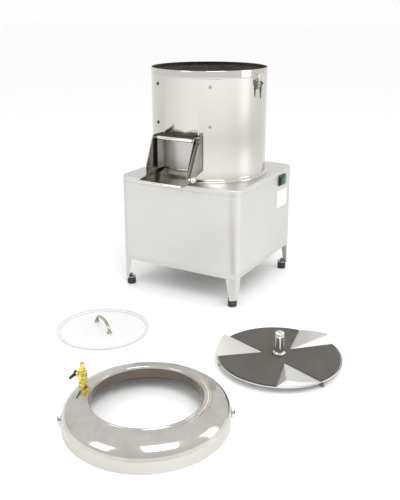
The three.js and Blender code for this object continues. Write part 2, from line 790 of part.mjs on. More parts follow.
const beltZ = cabinetTop - pulleyDrop;
const pulleyZ0 = beltZ - pulleyWidth / 2;
const pulleyZ1 = beltZ + pulleyWidth / 2;
const lowerBearingZ = cabinetTop - sheet - bearing.lowerDrop - bearing.width;
const upperBearingZ = cabinetTop - sheet - bearing.upperDrop - bearing.width;
const housingZ1 = cabinetTop - sheet - gap;
const housingZ0 = housingZ1 - housing.length;

function mainShaft() {
  const z1 = cabinetTop + shaftTop;
  const round = pillar(shaftRadius, pulleyZ0 - 12, z1);
  const half = driveHead.side / 2;
  const head = box([-half, half], [-half, half], [z1 - 5, z1 + driveHead.height]);
  return piece("main_shaft", castSteel, join(round, head));
}

function bearingHousing() {
  const bore = bearing.outer + gap;
  const outer = bearing.outer + housing.wall;
  const seatLow = lowerBearingZ + bearing.width + gap;
  const seatHigh = upperBearingZ - gap;
  const shoulder = bore - housing.shoulder;
  const profile = [
    [bore, housingZ0],
    [outer, housingZ0],
    [outer, housingZ1 - housing.flange],
    [housing.flangeRadius, housingZ1 - housing.flange],
    [housing.flangeRadius, housingZ1],
    [bore, housingZ1],
    [bore, seatHigh],
    [shoulder, seatHigh],
    [shoulder, seatLow],
    [bore, seatLow],
  ];
  return piece("bearing_housing", castSteel, ring(profile, medium));
}

const bearingRing = (name, z0) =>
  piece(name, chrome, tube(shaftRadius + gap, bearing.outer, z0, z0 + bearing.width));

function shaftSeal() {
  const z0 = cabinetTop + chamberFloor.thickness;
  const inner = shaftRadius + gap;
  const outer = shaftRadius + sealRoom - gap;
  return piece(
    "shaft_seal",
    rubber,
    ring(
      [[inner, z0], [outer, z0], [outer, z0 + 12], [inner + 3, z0 + 16], [inner, z0 + 16]],
      medium,
    ),
  );
}

// A grooved pulley round its own axis.
function pulley(name, radius, bore) {
  const low = beltZ - belt.width / 2 - belt.sideGap;
  const high = beltZ + belt.width / 2 + belt.sideGap;
  const root = radius - belt.depth - 2 * belt.seat;
  const profile = [
    [bore, pulleyZ0],
    [radius, pulleyZ0],
    [radius, low],
    [root, low],
    [root, high],
    [radius, high],
    [radius, pulleyZ1],
    [bore, pulleyZ1],
  ];
  return piece(name, castSteel, ring(profile, radius > 60 ? fine : medium));
}

// The outline of a belt round two circles: R at the origin and r at a distance along +X.
function beltOutline(bigRadius, smallRadius, distance) {
  const lean = Math.acos((bigRadius - smallRadius) / distance);
  const shape = new THREE.Shape();
  shape.absarc(0, 0, bigRadius, lean, 2 * Math.PI - lean, false);
  shape.absarc(distance, 0, smallRadius, -lean, lean, false);
  shape.closePath();
  return shape;
}

function driveBelt() {
  const outside = beltOutline(
    mainPulleyRadius - belt.seat, motorPulleyRadius - belt.seat, motorDistance,
  );
  const inside = beltOutline(
    mainPulleyRadius - belt.seat - belt.depth, motorPulleyRadius - belt.seat - belt.depth, motorDistance,
  );
  outside.holes.push(inside);
  const geometry = extrude(outside, belt.width, medium).translate(0, 0, beltZ - belt.width / 2);
  return turnedGroup(motorAngle, piece("drive_belt", rubber, solidOf(geometry)));
}

const motorPlateZ = pulleyZ1 + 14;
const motorZ0 = motorPlateZ + motorPlate.thickness + gap;

// The motor and what is on it, round the motor's own axis.
function motorUnit() {
  const place = new THREE.Group();
  const posts = [0, 90, 180, 270].map((angle) =>
    pillar(motorPlate.postRadius, motorPlateZ, housingZ1, tiny).translate([
      motorPlate.postCircle * Math.cos(angle * degrees),
      motorPlate.postCircle * Math.sin(angle * degrees),
      0,
    ]),
  );
  const deck = tube(
    motorPlate.hole, motorPlate.radius, motorPlateZ, motorPlateZ + motorPlate.thickness,
  );
  const finDepth = motor.radius - motor.core;
  const fins = [];
  for (let i = 0; i < motor.fins; i++) {
    fins.push(
      box([motor.core - 2, motor.core + finDepth], [-1.5, 1.5], [motorZ0 + 14, motorZ0 + motor.height - 10])
        .rotate([0, 0, (360 / motor.fins) * i]),
    );
  }
  const endBell = pillar(motor.radius, motorZ0, motorZ0 + 12);
  const core = pillar(motor.core, motorZ0, motorZ0 + motor.height);
  const bore = pillar(motor.shaft + gap, motorZ0 - 10, motorZ0 + motor.height + 10);
  const coverZ = motorZ0 + motor.height + gap;
  const cover = ring(
    [
      [motor.core - 4, coverZ],
      [motor.core, coverZ],
      [motor.core, coverZ + motor.coverHeight],
      [12, coverZ + motor.coverHeight],
      [12, coverZ + motor.coverHeight - 2],
      [motor.core - 4, coverZ + motor.coverHeight - 4],
    ],
    medium,
  );
  place.add(
    piece("motor_plate", castSteel, join(deck, ...posts)),
    piece("motor_body", motorPaint, cut(join(core, endBell, ...fins), bore)),
    piece("motor_fan_cover", blackPlastic, cover),
    piece("motor_shaft", castSteel, pillar(motor.shaft, pulleyZ0 - 6, motorZ0 + motor.height - 5)),
    pulley("motor_pulley", motorPulleyRadius, motor.shaft + gap),
  );
  const [x, y] = [Math.cos(motorAngle * degrees), Math.sin(motorAngle * degrees)];
  place.position.set(motorDistance * x, motorDistance * y, 0);
  return place;
}

function wasteTube() {
  const { outer, wall, place, bend, drop } = wastePipe;
  const end = wasteEnd;
  const top = cabinetTop - gap;
  const path = new THREE.CurvePath();
  const bendTop = new THREE.Vector3(0, place, cabinetTop - drop);
  const bendEnd = new THREE.Vector3(0, place + bend, wasteExit);
  path.add(new THREE.LineCurve3(new THREE.Vector3(0, place, top), bendTop));
  path.add(
    new THREE.QuadraticBezierCurve3(bendTop, new THREE.Vector3(0, place, wasteExit), bendEnd),
  );
  path.add(new THREE.LineCurve3(bendEnd, new THREE.Vector3(0, end, wasteExit)));
  const section = (radius) => {
    const shape = new THREE.Shape();
    shape.absarc(0, 0, radius, 0, 2 * Math.PI, false);
    return shape;
  };
  const along = (radius) =>
    solidOf(
      new THREE.ExtrudeGeometry(section(radius), { steps: 10, extrudePath: path, curveSegments: 7 }),
    );
  const inside = along(outer - wall);
  const mouths = join(
    pillar(outer - wall, top - 5, top + 5, 14).translate([0, place, 0]),
    rod(outer - wall, [0, end - 5, wasteExit], [0, end + 5, wasteExit], 14),
  );
  return piece("waste_pipe", stainless, cut(along(outer), inside, mouths));
}

// Spray ring, round its own axis with its skirt on the floor

const ringInner = drumRadius + rimBand.proud + ringFit;
const ringOuter = ringInner + ringWall;
const ringTop = ringSkirtHeight + gap + ringRise;
const shoulder = ringOpening + 8; // where the dome meets the rolled rim
const valvePlace = (ringOuter + shoulder) / 2;

// The dome's curve: a quarter ellipse from the skirt to the rim, moved out by a margin.
function domeCurve(margin, steps = 5) {
  const points = [];
  for (let step = 0; step <= steps; step++) {
    const angle = (90 * step * degrees) / steps;
    points.push([
      shoulder + (ringOuter - shoulder + margin) * Math.cos(angle),
      ringSkirtHeight + gap + (ringRise + margin) * Math.sin(angle),
    ]);
  }
  return points;
}

function ringDome() {
  const profile = [
    ...domeCurve(0),
    [shoulder - 3, ringTop + 2.4],
    [shoulder - 6, ringTop + 2.4],
    [ringOpening, ringTop],
    [ringOpening, ringTop - ringCollar],
    [ringOpening + ringWall, ringTop - ringCollar],
    [ringOpening + ringWall, ringTop - ringWall],
    ...domeCurve(-ringWall).reverse(),
  ];
  const nippleHole = pillar(valve.nipple + gap, 0, 2 * ringTop, small).translate([valvePlace, 0, 0]);
  return piece(
    "ring_dome",
    stainless,
    cut(ring(profile), nippleHole.rotate([0, 0, valveAngle])),
  );
}

function ringSkirt() {
  return piece(
    "ring_skirt",
    stainless,
    ring([
      [ringInner, 0],
      [ringOuter, 0],
      [ringOuter + 0.6, 1.5],
      [ringOuter, 3],
      [ringOuter, ringSkirtHeight],
      [ringInner, ringSkirtHeight],
    ]),
  );
}

function ringCatch(name) {
  const x0 = ringOuter + 2 * gap;
  const x1 = x0 + 2;
  const half = catchPlate.width / 2;
  const outer = x1 + catchPlate.reach;
  const back = box([x0, x1], [-half, half], [catchPlate.low, catchPlate.low + catchPlate.height]);
  const ledge = box([x0, outer], [-half + 2, half - 2], [catchPlate.ledge - 2, catchPlate.ledge]);
  const lip = box(
    [outer - 2, outer], [-half + 2, half - 2], [catchPlate.ledge - 2, catchPlate.ledge + catchPlate.lip],
  );
  return piece(name, stainless, join(back, ledge, lip));
}

const valveBodyZ = ringTop + valve.rise;
const valveMiddle = valveBodyZ + valve.bodyHeight / 2;

function waterValve() {
  const x = valvePlace;
  const upright = (radius, z0, z1, segments) => pillar(radius, z0, z1, segments).translate([x, 0, 0]);
  const nut = upright(valve.nut, ringTop - 22, ringTop, 6);
  const under = revolve([[0, 0], [ringOuter + gap, 0], ...domeCurve(gap), [0, ringTop + gap]]);
  const seatedNut = cut(nut, under.rotate([0, 0, -valveAngle]));
  const nipple = upright(valve.nipple, ringTop - 26, valveBodyZ + 1, small);
  const body = upright(valve.body, valveBodyZ, valveBodyZ + valve.bodyHeight, small);
  const top = upright(valve.top, valveBodyZ, valveBodyZ + valve.bodyHeight + valve.topHeight, small);
  const topNut = upright(
    valve.top + 4, valveBodyZ + valve.bodyHeight, valveBodyZ + valve.bodyHeight + 7, 6,
  );
  const boss = rod(8, [x, 0, valveMiddle], [x + valve.body + 6, 0, valveMiddle], small);
  const stem = rod(
    valveHandle.stem, [x, 0, valveMiddle], [x + valve.body + valveHandle.reach, 0, valveMiddle],
  );
  const topZ = valveBodyZ + valve.bodyHeight + valve.topHeight;
  const bore = upright(valve.bore, topZ - valve.topHeight + 4, topZ + 5, small);
  return piece("water_valve", brass, cut(join(seatedNut, nipple, body, top, topNut, boss, stem), bore));
}

function valveLever() {
  const x0 = valvePlace + valve.body + 7;
  const half = valveHandle.width / 2;
  const bar = box(
    [x0, x0 + valveHandle.thickness],
    [-half, valveHandle.length],
    [valveMiddle - half, valveMiddle + half],
  );
  const hub = rod(9, [x0, 0, valveMiddle], [x0 + valveHandle.thickness, 0, valveMiddle], small);
  const bore = rod(valveHandle.stem + gap, [x0 - 9, 0, valveMiddle], [x0 + 19, 0, valveMiddle]);
  return piece("valve_lever", blackPlastic, cut(join(bar, hub), bore));
}

// Abrasive disc, round its own axis, standing on its sweepers

const discRadius = linerInner - discGap;
const discTop = discRise + discPlate;
const waveAngles = [0, 120, 240];

function waveTool(margin, height) {
  const low = discTop - 1;
  const rim = discRadius + 20;
  const at = (r, angle, z) =>
    new THREE.Vector3(r * Math.cos(angle * degrees), r * Math.sin(angle * degrees), z);
  const half = wave.halfAngle;
  const start = wave.start - margin;
  const points = [
    at(start, 0, low),
    at(rim, -half, low).add(new THREE.Vector3(0, -margin, 0)),
    at(rim, half, low).add(new THREE.Vector3(0, margin, 0)),
    at(start, 0, height ? discTop + 0.4 : low + 20),
    at(rim, wave.peakAngle, height ? discTop + height : low + 20),
    at(rim, -half, height ? discTop + 0.4 : low + 20).add(new THREE.Vector3(0, -margin, 0)),
    at(rim, half, height ? discTop + 0.4 : low + 20).add(new THREE.Vector3(0, margin, 0)),
  ];
  return solidOf(new ConvexGeometry(points));
}

function discPlateWithWaves() {
  const whole = pillar(discRadius, discRise, discTop, fine);
  const bound = pillar(discRadius - 0.5, 0, 2 * discRise + wave.height, fine);
  const waves = waveAngles.map((angle) =>
    waveTool(0, wave.height).rotate([0, 0, angle]).intersect(bound),
  );
  return piece("disc_plate", stainless, cut(join(whole, ...waves), pillar(8, 0, 60, small)));
}

function discAbrasive() {
  const z0 = discTop + gap;
  const pad = tube(abrasive.hole, discRadius - abrasive.margin, z0, z0 + abrasive.thickness, fine);
  const cuts = waveAngles.map((angle) => waveTool(2, 0).rotate([0, 0, angle]));
  return piece("disc_abrasive", grit, cut(pad, ...cuts));
}

function liftingPost() {
  const z0 = discTop + gap + abrasive.thickness + gap;
  const z1 = z0 + post.height;
  const r = post.radius;
  const profile = [
    [0, z0],
    [r, z0],
    [r, z1 - 14],
    [r - post.groove, z1 - 13],
    [r - post.groove, z1 - 11],
    [r, z1 - 10],
    [r, z1 - 4],
    [r - 2, z1 - 1.2],
    [r - 6, z1],
    [0, z1],
  ];
  const hex = pillar(post.hex, z0, z0 + post.hexHeight, 6);
  const shank = pillar(8 - gap, discRise + 1, z0 + 1, small);
  return piece("lifting_post", stainless, join(revolve(profile, medium), hex, shank));
}

function discHub() {
  const z1 = discRise - gap;
  const boss = pillar(24, 4, z1, medium);
  const socket = driveHead.side / 2 + gap;
  const square = box([-socket, socket], [-socket, socket], [-1, z1 - 4]);
  const end = discRadius - sweeper.margin;
  const half = sweeper.thickness / 2;
  const arms = waveAngles.map((angle) =>
    join(
      box([10, end], [-half, half], [z1 - sweeper.arm, z1]),
      box([end - sweeper.tab, end], [-half, half], [0, z1]),
    ).rotate([0, 0, angle + sweeper.angle]),
  );
  return piece("disc_hub", castSteel, cut(join(boss, ...arms), square));
}

// Lid, round its own axis with its plug on the floor

const lidRadius = ringOpening + lidOverlap;
const lidTop = lidPlug.depth + lidThickness;

function lidDisc() {
  const plug = ringOpening - lidPlug.fit;
  return piece(
    "lid_disc",
    acrylic,
    revolve([
      [0, 0],
      [plug, 0],
      [plug, lidPlug.depth],
      [lidRadius - 1, lidPlug.depth],
      [lidRadius, lidPlug.depth + 1],
      [lidRadius, lidTop - 1],
      [lidRadius - 1, lidTop],
      [0, lidTop],
    ]),
  );
}

function lidBow() {
  const { span, rise, radius, foot: footHeight } = lidHandle;
  const z0 = lidTop + gap;
  const half = span / 2;
  const path = new THREE.CurvePath();
  const left = new THREE.Vector3(-half, 0, z0 + footHeight - 2);
  const right = new THREE.Vector3(half, 0, z0 + footHeight - 2);
  const control = (x) => new THREE.Vector3(x, 0, z0 + rise + 8);
  path.add(new THREE.CubicBezierCurve3(left, control(-half + 4), control(half - 4), right));
  const section = new THREE.Shape();
  section.absarc(0, 0, radius, 0, 2 * Math.PI, false);
  const bow = solidOf(
    new THREE.ExtrudeGeometry(section, { steps: 12, extrudePath: path, curveSegments: 5 }),
  );
  const feet = [-half, half].map((x) =>
    revolve([[0, z0], [9, z0], [9, z0 + 3], [radius + 1, z0 + footHeight], [0, z0 + footHeight]], small)
      .translate([x, 0, 0]),
  );
  return piece("lid_handle", chrome, join(bow, ...feet));
}

// Assembly

const machine = new THREE.Group();
machine.add(cabinetShell(), rearCover(), cableGland(), underFrame());
for (const [end, signY] of [["front", -1], ["rear", 1]]) {
  for (const [side, signX] of [["left", -1], ["right", 1]]) {
    machine.add(cabinetLeg(`leg_${end}_${side}`, signX, signY));
    machine.add(rubberFoot(`foot_${end}_${side}`, signX, signY));
  }
}
machine.add(switchHousing(), ratingPlate());
machine.add(button("stop_button", blackPlastic, buttonY[0]));
machine.add(button("start_button", greenPlastic, buttonY[1]));
machine.add(drumShell(), abrasiveLiner(), chamberFloorDish(), ...linerBolts());
machine.add(dischargeChute(), doorLeaf(), hingeRod(), openingLever(), doorKnob(), doorSeal());
for (const [side, turn] of [["right", 0], ["left", 180]]) {
  machine.add(
    turnedGroup(
      latchAngle + turn,
      latchBracket(`latch_plate_${side}`),
      latchHandle(`latch_lever_${side}`),
      latchBail(`latch_bail_${side}`),
    ),
  );
}
machine.add(mainShaft(), bearingHousing(), shaftSeal());
machine.add(pulley("main_pulley", mainPulleyRadius, shaftRadius + gap));
machine.add(bearingRing("bearing_upper", upperBearingZ), bearingRing("bearing_lower", lowerBearingZ));
machine.add(driveBelt(), motorUnit(), wasteTube());

const lid = turnedGroup(lidHandle.turn, lidDisc(), lidBow());
lid.position.set(lidPlace.x, lidPlace.y, 0);

const disc = turnedGroup(discTurn, discPlateWithWaves(), discAbrasive(), liftingPost(), discHub());
disc.position.set(discPlace.x, discPlace.y, 0);

const spray = turnedGroup(
  ringTurn,
  ringDome(),
  ringSkirt(),
  ringCatch("ring_catch_right"),
  turnedGroup(180, ringCatch("ring_catch_left")),
  turnedGroup(valveAngle, waterValve(), valveLever()),
);
const ringDistance = ringOuter + discRadius + looseGap;
const ringPlace = {
  x: discPlace.x + ringDistance * Math.cos(ringBearing * degrees),
  y: discPlace.y + ringDistance * Math.sin(ringBearing * degrees),
};
spray.position.set(ringPlace.x, ringPlace.y, 0);

// The part's origin is on the floor, in the middle of the room that all of it takes up.
const part = new THREE.Group();
part.add(machine, lid, disc, spray);
const leftEdge = -cabinetWidth / 2;
const rightEdge = discPlace.x + discRadius;
const frontEdge = ringPlace.y - ringOuter;
const rearEdge = wasteEnd;
part.position.set(-(leftEdge + rightEdge) / 2, -(frontEdge + rearEdge) / 2, 0);

export default part;
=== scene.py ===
"""A floor-standing batch peeler for root vegetables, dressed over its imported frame.

Shapes are worked out in millimetres round the axis of their own assembly and put into the mesh in
metres. Every rounded sheet, bar and casting is a grid of points from a formula, and every finish is
a network of shader nodes read from Object coordinates.
"""

import math

import bmesh
import bpy
import numpy as np
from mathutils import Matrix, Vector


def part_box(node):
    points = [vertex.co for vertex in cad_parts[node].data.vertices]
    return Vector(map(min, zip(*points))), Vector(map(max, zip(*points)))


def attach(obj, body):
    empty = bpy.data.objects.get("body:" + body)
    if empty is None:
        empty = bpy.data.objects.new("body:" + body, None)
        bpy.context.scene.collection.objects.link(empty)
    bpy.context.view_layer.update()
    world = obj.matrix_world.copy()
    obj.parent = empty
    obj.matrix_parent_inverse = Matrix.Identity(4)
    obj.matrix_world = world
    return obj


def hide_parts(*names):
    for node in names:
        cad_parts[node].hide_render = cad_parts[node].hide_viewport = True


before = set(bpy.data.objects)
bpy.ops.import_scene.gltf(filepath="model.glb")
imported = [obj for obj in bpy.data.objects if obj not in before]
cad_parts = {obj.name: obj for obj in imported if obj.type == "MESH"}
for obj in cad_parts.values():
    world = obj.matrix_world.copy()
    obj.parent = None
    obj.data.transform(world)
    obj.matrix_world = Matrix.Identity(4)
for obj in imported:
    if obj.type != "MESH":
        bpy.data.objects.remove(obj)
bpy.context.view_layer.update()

# ---------------------------------------------------------------- places


def middle(node):
    """The centre of a frame node's box, in metres."""
    low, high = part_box(node)
    return np.array((low + high) / 2)


def place(node, turn=0.0):
    """Where an assembly stands: the upright axis through a node's centre, and its turn about it."""
    centre = middle(node)
    return centre[0], centre[1], math.radians(turn)


MACHINE = place("main_shaft")
LID = place("lid_disc", -29)
DISC = place("disc_plate", 72)
RING = place("ring_dome", 34)
VALVE = place("ring_dome", 189)
LATCHES = {"right": place("main_shaft", -8), "left": place("main_shaft", 172)}

# ---------------------------------------------------------------- shapes


def arc(radius, start, end, steps, centre=(0.0, 0.0)):
    """Points on a circle: centre + radius (cos a, sin a), with a from start to end in degrees."""
    a = np.radians(np.linspace(start, end, steps + 1))
    return np.stack([centre[0] + radius * np.cos(a), centre[1] + radius * np.sin(a)], 1)


def rounded(corners, radius, steps=4, closed=False):
    """A line whose corner B gives way to (1-t)^2 A + 2t(1-t) B + t^2 C, where A and C lie the
    radius before and after B, or half a side if that is shorter."""
    p = np.asarray(corners, float)
    reach = np.array(np.broadcast_to(radius, len(p)), float)
    if not closed:
        reach[[0, -1]] = 0
    ends = []
    for shift in (1, -1):
        side = np.roll(p, shift, 0) - p
        length = np.maximum(np.linalg.norm(side, axis=1), 1e-9)
        ends.append(p + side * (np.minimum(reach, length / 2) / length)[:, None])
    t = np.linspace(0, 1, steps + 1)[None, :, None]
    curve = (1 - t) ** 2 * ends[0][:, None] + 2 * t * (1 - t) * p[:, None] + t**2 * ends[1][:, None]
    return curve.reshape(-1, p.shape[1])


def lathe(profile, angles=96):
    """A profile of (radius, height) turned about Z: x = r cos a, y = r sin a, z = height. Angles
    are a number of even steps, or a list in degrees."""
    if np.isscalar(angles):
        angles = np.arange(angles) * 360 / angles
    a = np.radians(angles)
    p = np.asarray(profile, float)
    r, z = p[:, :1], p[:, 1:2]
    return np.stack([r * np.cos(a), r * np.sin(a), z + 0 * a], -1)


def bar(path, radius, up=(0, 0, 1), around=14, flatten=1.0):
    """A round bar along a path: the circle p + r (cos a * side + sin a * top) stands across the
    path at each point p, where side is along x up and top is side x along. Its ends are closed."""
    p = np.asarray(path, float)
    along = np.gradient(p, axis=0)
    along /= np.linalg.norm(along, axis=1, keepdims=True)
    side = np.cross(along, up)
    side /= np.linalg.norm(side, axis=1, keepdims=True)
    top = np.cross(side, along) * flatten
    a = (np.arange(around) * 2 * np.pi / around)[None, :, None]
    r = np.array(np.broadcast_to(radius, len(p)), float)[:, None, None]
    tube = p[:, None] + r * (np.cos(a) * side[:, None] + np.sin(a) * top[:, None])
    cap = np.broadcast_to(p[[0, -1], None], (2, around, 3))
    return np.concatenate([cap[:1], tube, cap[1:]])


def skin(points, around=False, over=False, keep=None):
    """The faces between neighbouring points of a grid. around joins the last column to the first,
    over joins the last row to the first, and keep is a mask of the faces to make."""
    rows, columns = points.shape[:2]
    index = np.arange(rows * columns).reshape(rows, columns)
    if around:
        index = np.concatenate([index, index[:, :1]], 1)
    if over:
        index = np.concatenate([index, index[:1]])
    faces = np.stack([index[:-1, :-1], index[:-1, 1:], index[1:, 1:], index[1:, :-1]], -1)
    faces = faces[keep] if keep is not None else faces.reshape(-1, 4)
    return points.reshape(-1, 3), faces.tolist()


def turned(profile, angles=96, closed=True):
    """The skin of a lathe shape, whose profile returns to its start when it is closed."""
    return skin(lathe(profile, angles), around=True, over=closed)


def rod(start, end, radius, up=(0, 0, 1), around=16, edge=0.4):
    """A straight round bar whose rims are rounded: near each end the radius follows a quarter
    circle of the edge's size."""
    start, end = np.asarray(start, float), np.asarray(end, float)
    length = np.linalg.norm(end - start)
    a = np.radians([0, 30, 60, 90])
    s = np.concatenate([edge * (1 - np.cos(a)), length - edge * (1 - np.cos(a[::-1]))]) / length
    r = radius - edge * (1 - np.concatenate([np.sin(a), np.sin(a[::-1])]))
    return skin(bar(start + s[:, None] * (end - start), r, up, around), around=True)


AXES = {"z": [0, 1, 2], "x": [2, 0, 1], "y": [0, 2, 1]}


def slab(outline, low, high, edge=0.6, axis="z", steps=3):
    """A flat plate: its outline carried from low to high along an axis. Towards both faces it is
    drawn in along a quarter circle, by edge (1 - cos a), square to the outline's sides."""
    p = np.asarray(outline, float)
    before, after = p - np.roll(p, 1, 0), np.roll(p, -1, 0) - p
    square = [
        np.stack([s[:, 1], -s[:, 0]], 1) / np.maximum(np.linalg.norm(s, axis=1, keepdims=True), 1e-9)
        for s in (before, after)
    ]
    area = np.sum(p[:, 0] * np.roll(p[:, 1], -1) - p[:, 1] * np.roll(p[:, 0], -1))
    dot = np.sum(square[0] * square[1], axis=1, keepdims=True)
    out = (square[0] + square[1]) / np.maximum(1 + dot, 0.3) * np.sign(area)
    a = np.radians(np.linspace(0, 90, steps + 1))
    inward = np.concatenate([edge * (1 - np.sin(a)), edge * (1 - np.sin(a[::-1]))])
    height = np.concatenate([low + edge * (1 - np.cos(a)), high - edge * (1 - np.cos(a[::-1]))])
    grid = np.empty((len(height), len(p), 3))
    grid[..., :2] = p[None] - inward[:, None, None] * out[None]
    grid[..., 2] = height[:, None]
    points, faces = skin(grid, around=True)
    last = (len(height) - 1) * len(p)
    faces += [list(range(len(p)))[::-1], list(range(last, last + len(p)))]
    return points[:, AXES[axis]], faces


def rectangle(x, y, radius=3.0, steps=4):
    """A rectangle between two pairs of sides, with round corners."""
    corners = [(x[1], y[0]), (x[1], y[1]), (x[0], y[1]), (x[0], y[0])]
    return rounded(corners, radius, steps, closed=True)


def moved(part, by=(0, 0, 0), turn=0.0, tilt=None):
    """A skin turned about Z by some degrees, tipped by a 3 x 3 matrix before that, and moved."""
    points, faces = part
    if tilt is not None:
        points = points @ np.asarray(tilt, float).T
    c, s = math.cos(math.radians(turn)), math.sin(math.radians(turn))
    return points @ np.array([[c, s, 0], [-s, c, 0], [0, 0, 1]]) + np.asarray(by, float), faces


UP_TO_X = [[0, 0, 1], [0, 1, 0], [-1, 0, 0]]  # carries +Z to +X
UP_TO_Y = [[1, 0, 0], [0, 0, 1], [0, -1, 0]]  # carries +Z to +Y


def ripple(shape, seed, passes=1):
    """Even random bumps from -1 to 1 over a grid whose columns go round, smoothed by averaging each
    point with its neighbours."""
    bumps = np.random.default_rng(seed).uniform(-1, 1, shape)
    for _ in range(passes):
        bumps = (bumps * 2 + np.roll(bumps, 1, 1) + np.roll(bumps, -1, 1)) / 4
        bumps[1:-1] = (bumps[1:-1] * 2 + bumps[2:] + bumps[:-2]) / 4
    return bumps / np.abs(bumps).max()


# ---------------------------------------------------------------- pieces

def piece(name, parts, finish, stands_for=(), at=MACHINE, body="root", wall=0.0,
          bevel=0.0, sharp=38.0, holes=()):
    """Makes one finished object from skins. An open skin gets its wall on the side away from its
    faces; holes are skins that are cut out of it."""
    x, y, turn = at
    points, faces = join_skins(parts)
    c, s = math.cos(turn), math.sin(turn)
    points = points @ np.array([[c, s, 0], [-s, c, 0], [0, 0, 1]]) * 0.001 + np.array([x, y, 0])
    made = mesh_object(name, points, faces, wall == 0)
    if wall:
        thick = made.modifiers.new("wall", "SOLIDIFY")
        thick.thickness, thick.offset = wall * 0.001, -1
        thick.use_even_offset = True
    cutters = []
    for hole in holes:
        cut_points, cut_faces = moved(hole, turn=math.degrees(turn))
        cutter = mesh_object(name + "_cut", cut_points * 0.001 + np.array([x, y, 0]), cut_faces, True)
        cutting = made.modifiers.new("hole", "BOOLEAN")
        cutting.operation, cutting.object, cutting.solver = "DIFFERENCE", cutter, "EXACT"
        cutters.append(cutter)
    if bevel:
        edge = made.modifiers.new("edge", "BEVEL")
        edge.width, edge.segments = bevel * 0.001, 2
        edge.limit_method, edge.angle_limit = "ANGLE", math.radians(50)
    if made.modifiers:
        seen = made.evaluated_get(bpy.context.evaluated_depsgraph_get())
        done = bpy.data.meshes.new_from_object(seen)
        made.modifiers.clear()
        made.data = done
    for cutter in cutters:
        bpy.data.objects.remove(cutter)
    made.data.polygons.foreach_set("use_smooth", np.ones(len(made.data.polygons), bool))
    made.data.set_sharp_from_angle(angle=math.radians(sharp))
    made.data.materials.clear()
    made.data.materials.append(finish)
    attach(made, body)
    if stands_for:
        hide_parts(*([stands_for] if isinstance(stands_for, str) else stands_for))
    return made


def join_skins(parts):
    """Several skins as one list of points and one of faces."""
    points, faces, start = [], [], 0
    for part_points, part_faces in parts:
        points.append(part_points)
        faces += [[start + i for i in face] for face in part_faces]
        start += len(part_points)
    return np.concatenate(points), faces


def mesh_object(name, points, faces, closed):
    """A mesh object whose touching points are merged. A closed one gets its faces turned outwards."""
    mesh = bpy.data.meshes.new(name)
    mesh.from_pydata(points.tolist(), [], faces)
    edit = bmesh.new()
    edit.from_mesh(mesh)
    bmesh.ops.remove_doubles(edit, verts=edit.verts, dist=2e-6)
    bmesh.ops.dissolve_degenerate(edit, edges=edit.edges, dist=1e-7)
    if closed:
        bmesh.ops.recalc_face_normals(edit, faces=edit.faces)
    edit.to_mesh(mesh)
    edit.free()
    made = bpy.data.objects.new(name, mesh)
    bpy.context.scene.collection.objects.link(made)
    return made


# ---------------------------------------------------------------- finishes


class Flow:
    """A value in a finish's network. Arithmetic on it adds Math nodes."""

    def __init__(self, finish, socket):
        self.finish, self.socket = finish, socket

    def math(self, operation, *values):
        sockets = {i: value for i, value in enumerate(values)}
        return self.finish.add("Math", {"operation": operation}, sockets)

    def __add__(self, other):
        return self.math("ADD", self, other)

    def __sub__(self, other):
        return self.math("SUBTRACT", self, other)

    def __rsub__(self, other):
        return self.math("SUBTRACT", other, self)

    def __mul__(self, other):
        return self.math("MULTIPLY", self, other)

    def __pow__(self, other):
        return self.math("POWER", self, other)

    __radd__, __rmul__ = __add__, __mul__

    def band(self, low, high, start=0.0, end=1.0):
        """The value carried from low..high to start..end, held at both ends."""
        return self.finish.add(
            "MapRange", {"interpolation_type": "SMOOTHSTEP"}, {0: self, 1: low, 2: high, 3: start, 4: end}
        )


class Finish:
    """A material, or the world, whose nodes are written as expressions."""

    def __init__(self, name, world=False):
        self.material = (bpy.data.worlds if world else bpy.data.materials).new(name)
        self.material.use_nodes = True
        self.tree = self.material.node_tree
        self.shader = self.tree.nodes["Background" if world else "Principled BSDF"]
        self.spot = self.add("TexCoord", out="Generated" if world else "Object")

    def add(self, kind, settings=None, sockets=None, out=0):
        """Adds any node: its settings, then its sockets."""
        node = self.tree.nodes.new("ShaderNode" + kind)
        for key, value in (settings or {}).items():
            setattr(node, key, value)
        self.feed(node, sockets or {})
        return Flow(self, node.outputs[out])

    def feed(self, node, sockets):
        for key, value in sockets.items():
            if isinstance(value, Flow):
                self.tree.links.new(value.socket, node.inputs[key])
            elif isinstance(value, tuple) and len(value) == 3 and len(node.inputs[key].default_value) == 4:
                node.inputs[key].default_value = (*value, 1)
            else:
                node.inputs[key].default_value = value

    def spread(self, x, y, z, shift=(0, 0, 0)):
        """Object coordinates stretched along each axis: the pattern repeats that often a metre."""
        return self.add("Mapping", None, {"Vector": self.spot, "Scale": (x, y, z), "Location": shift})

    def noise(self, where, scale=1.0, detail=2.0, rough=0.5):
        sockets = {"Vector": where, "Scale": scale, "Detail": detail, "Roughness": rough}
        return self.add("TexNoise", None, sockets)

    def cells(self, where, scale=1.0, feature="F1", out="Distance"):
        return self.add("TexVoronoi", {"feature": feature}, {"Vector": where, "Scale": scale}, out)

    def mix(self, share, a, b):
        """A colour between a and b."""
        return self.add("Mix", {"data_type": "RGBA"}, {0: share, 6: a, 7: b}, 2)

    def height(self, value, strength, distance):
        """A surface normal from bumps of the given depth in metres."""
        return self.add("Bump", None, {"Height": value, "Strength": strength, "Distance": distance})

    def along(self, axis):
        """One coordinate in metres."""
        return self.add("SeparateXYZ", None, {0: self.spot}, axis)

    def distance(self, x, y):
        """Distance in metres from an upright axis."""
        return ((self.along(0) - x) ** 2.0 + (self.along(1) - y) ** 2.0) ** 0.5

    def done(self, **sockets):
        self.feed(self.shader, {key.replace("_", " "): value for key, value in sockets.items()})
        return self.material


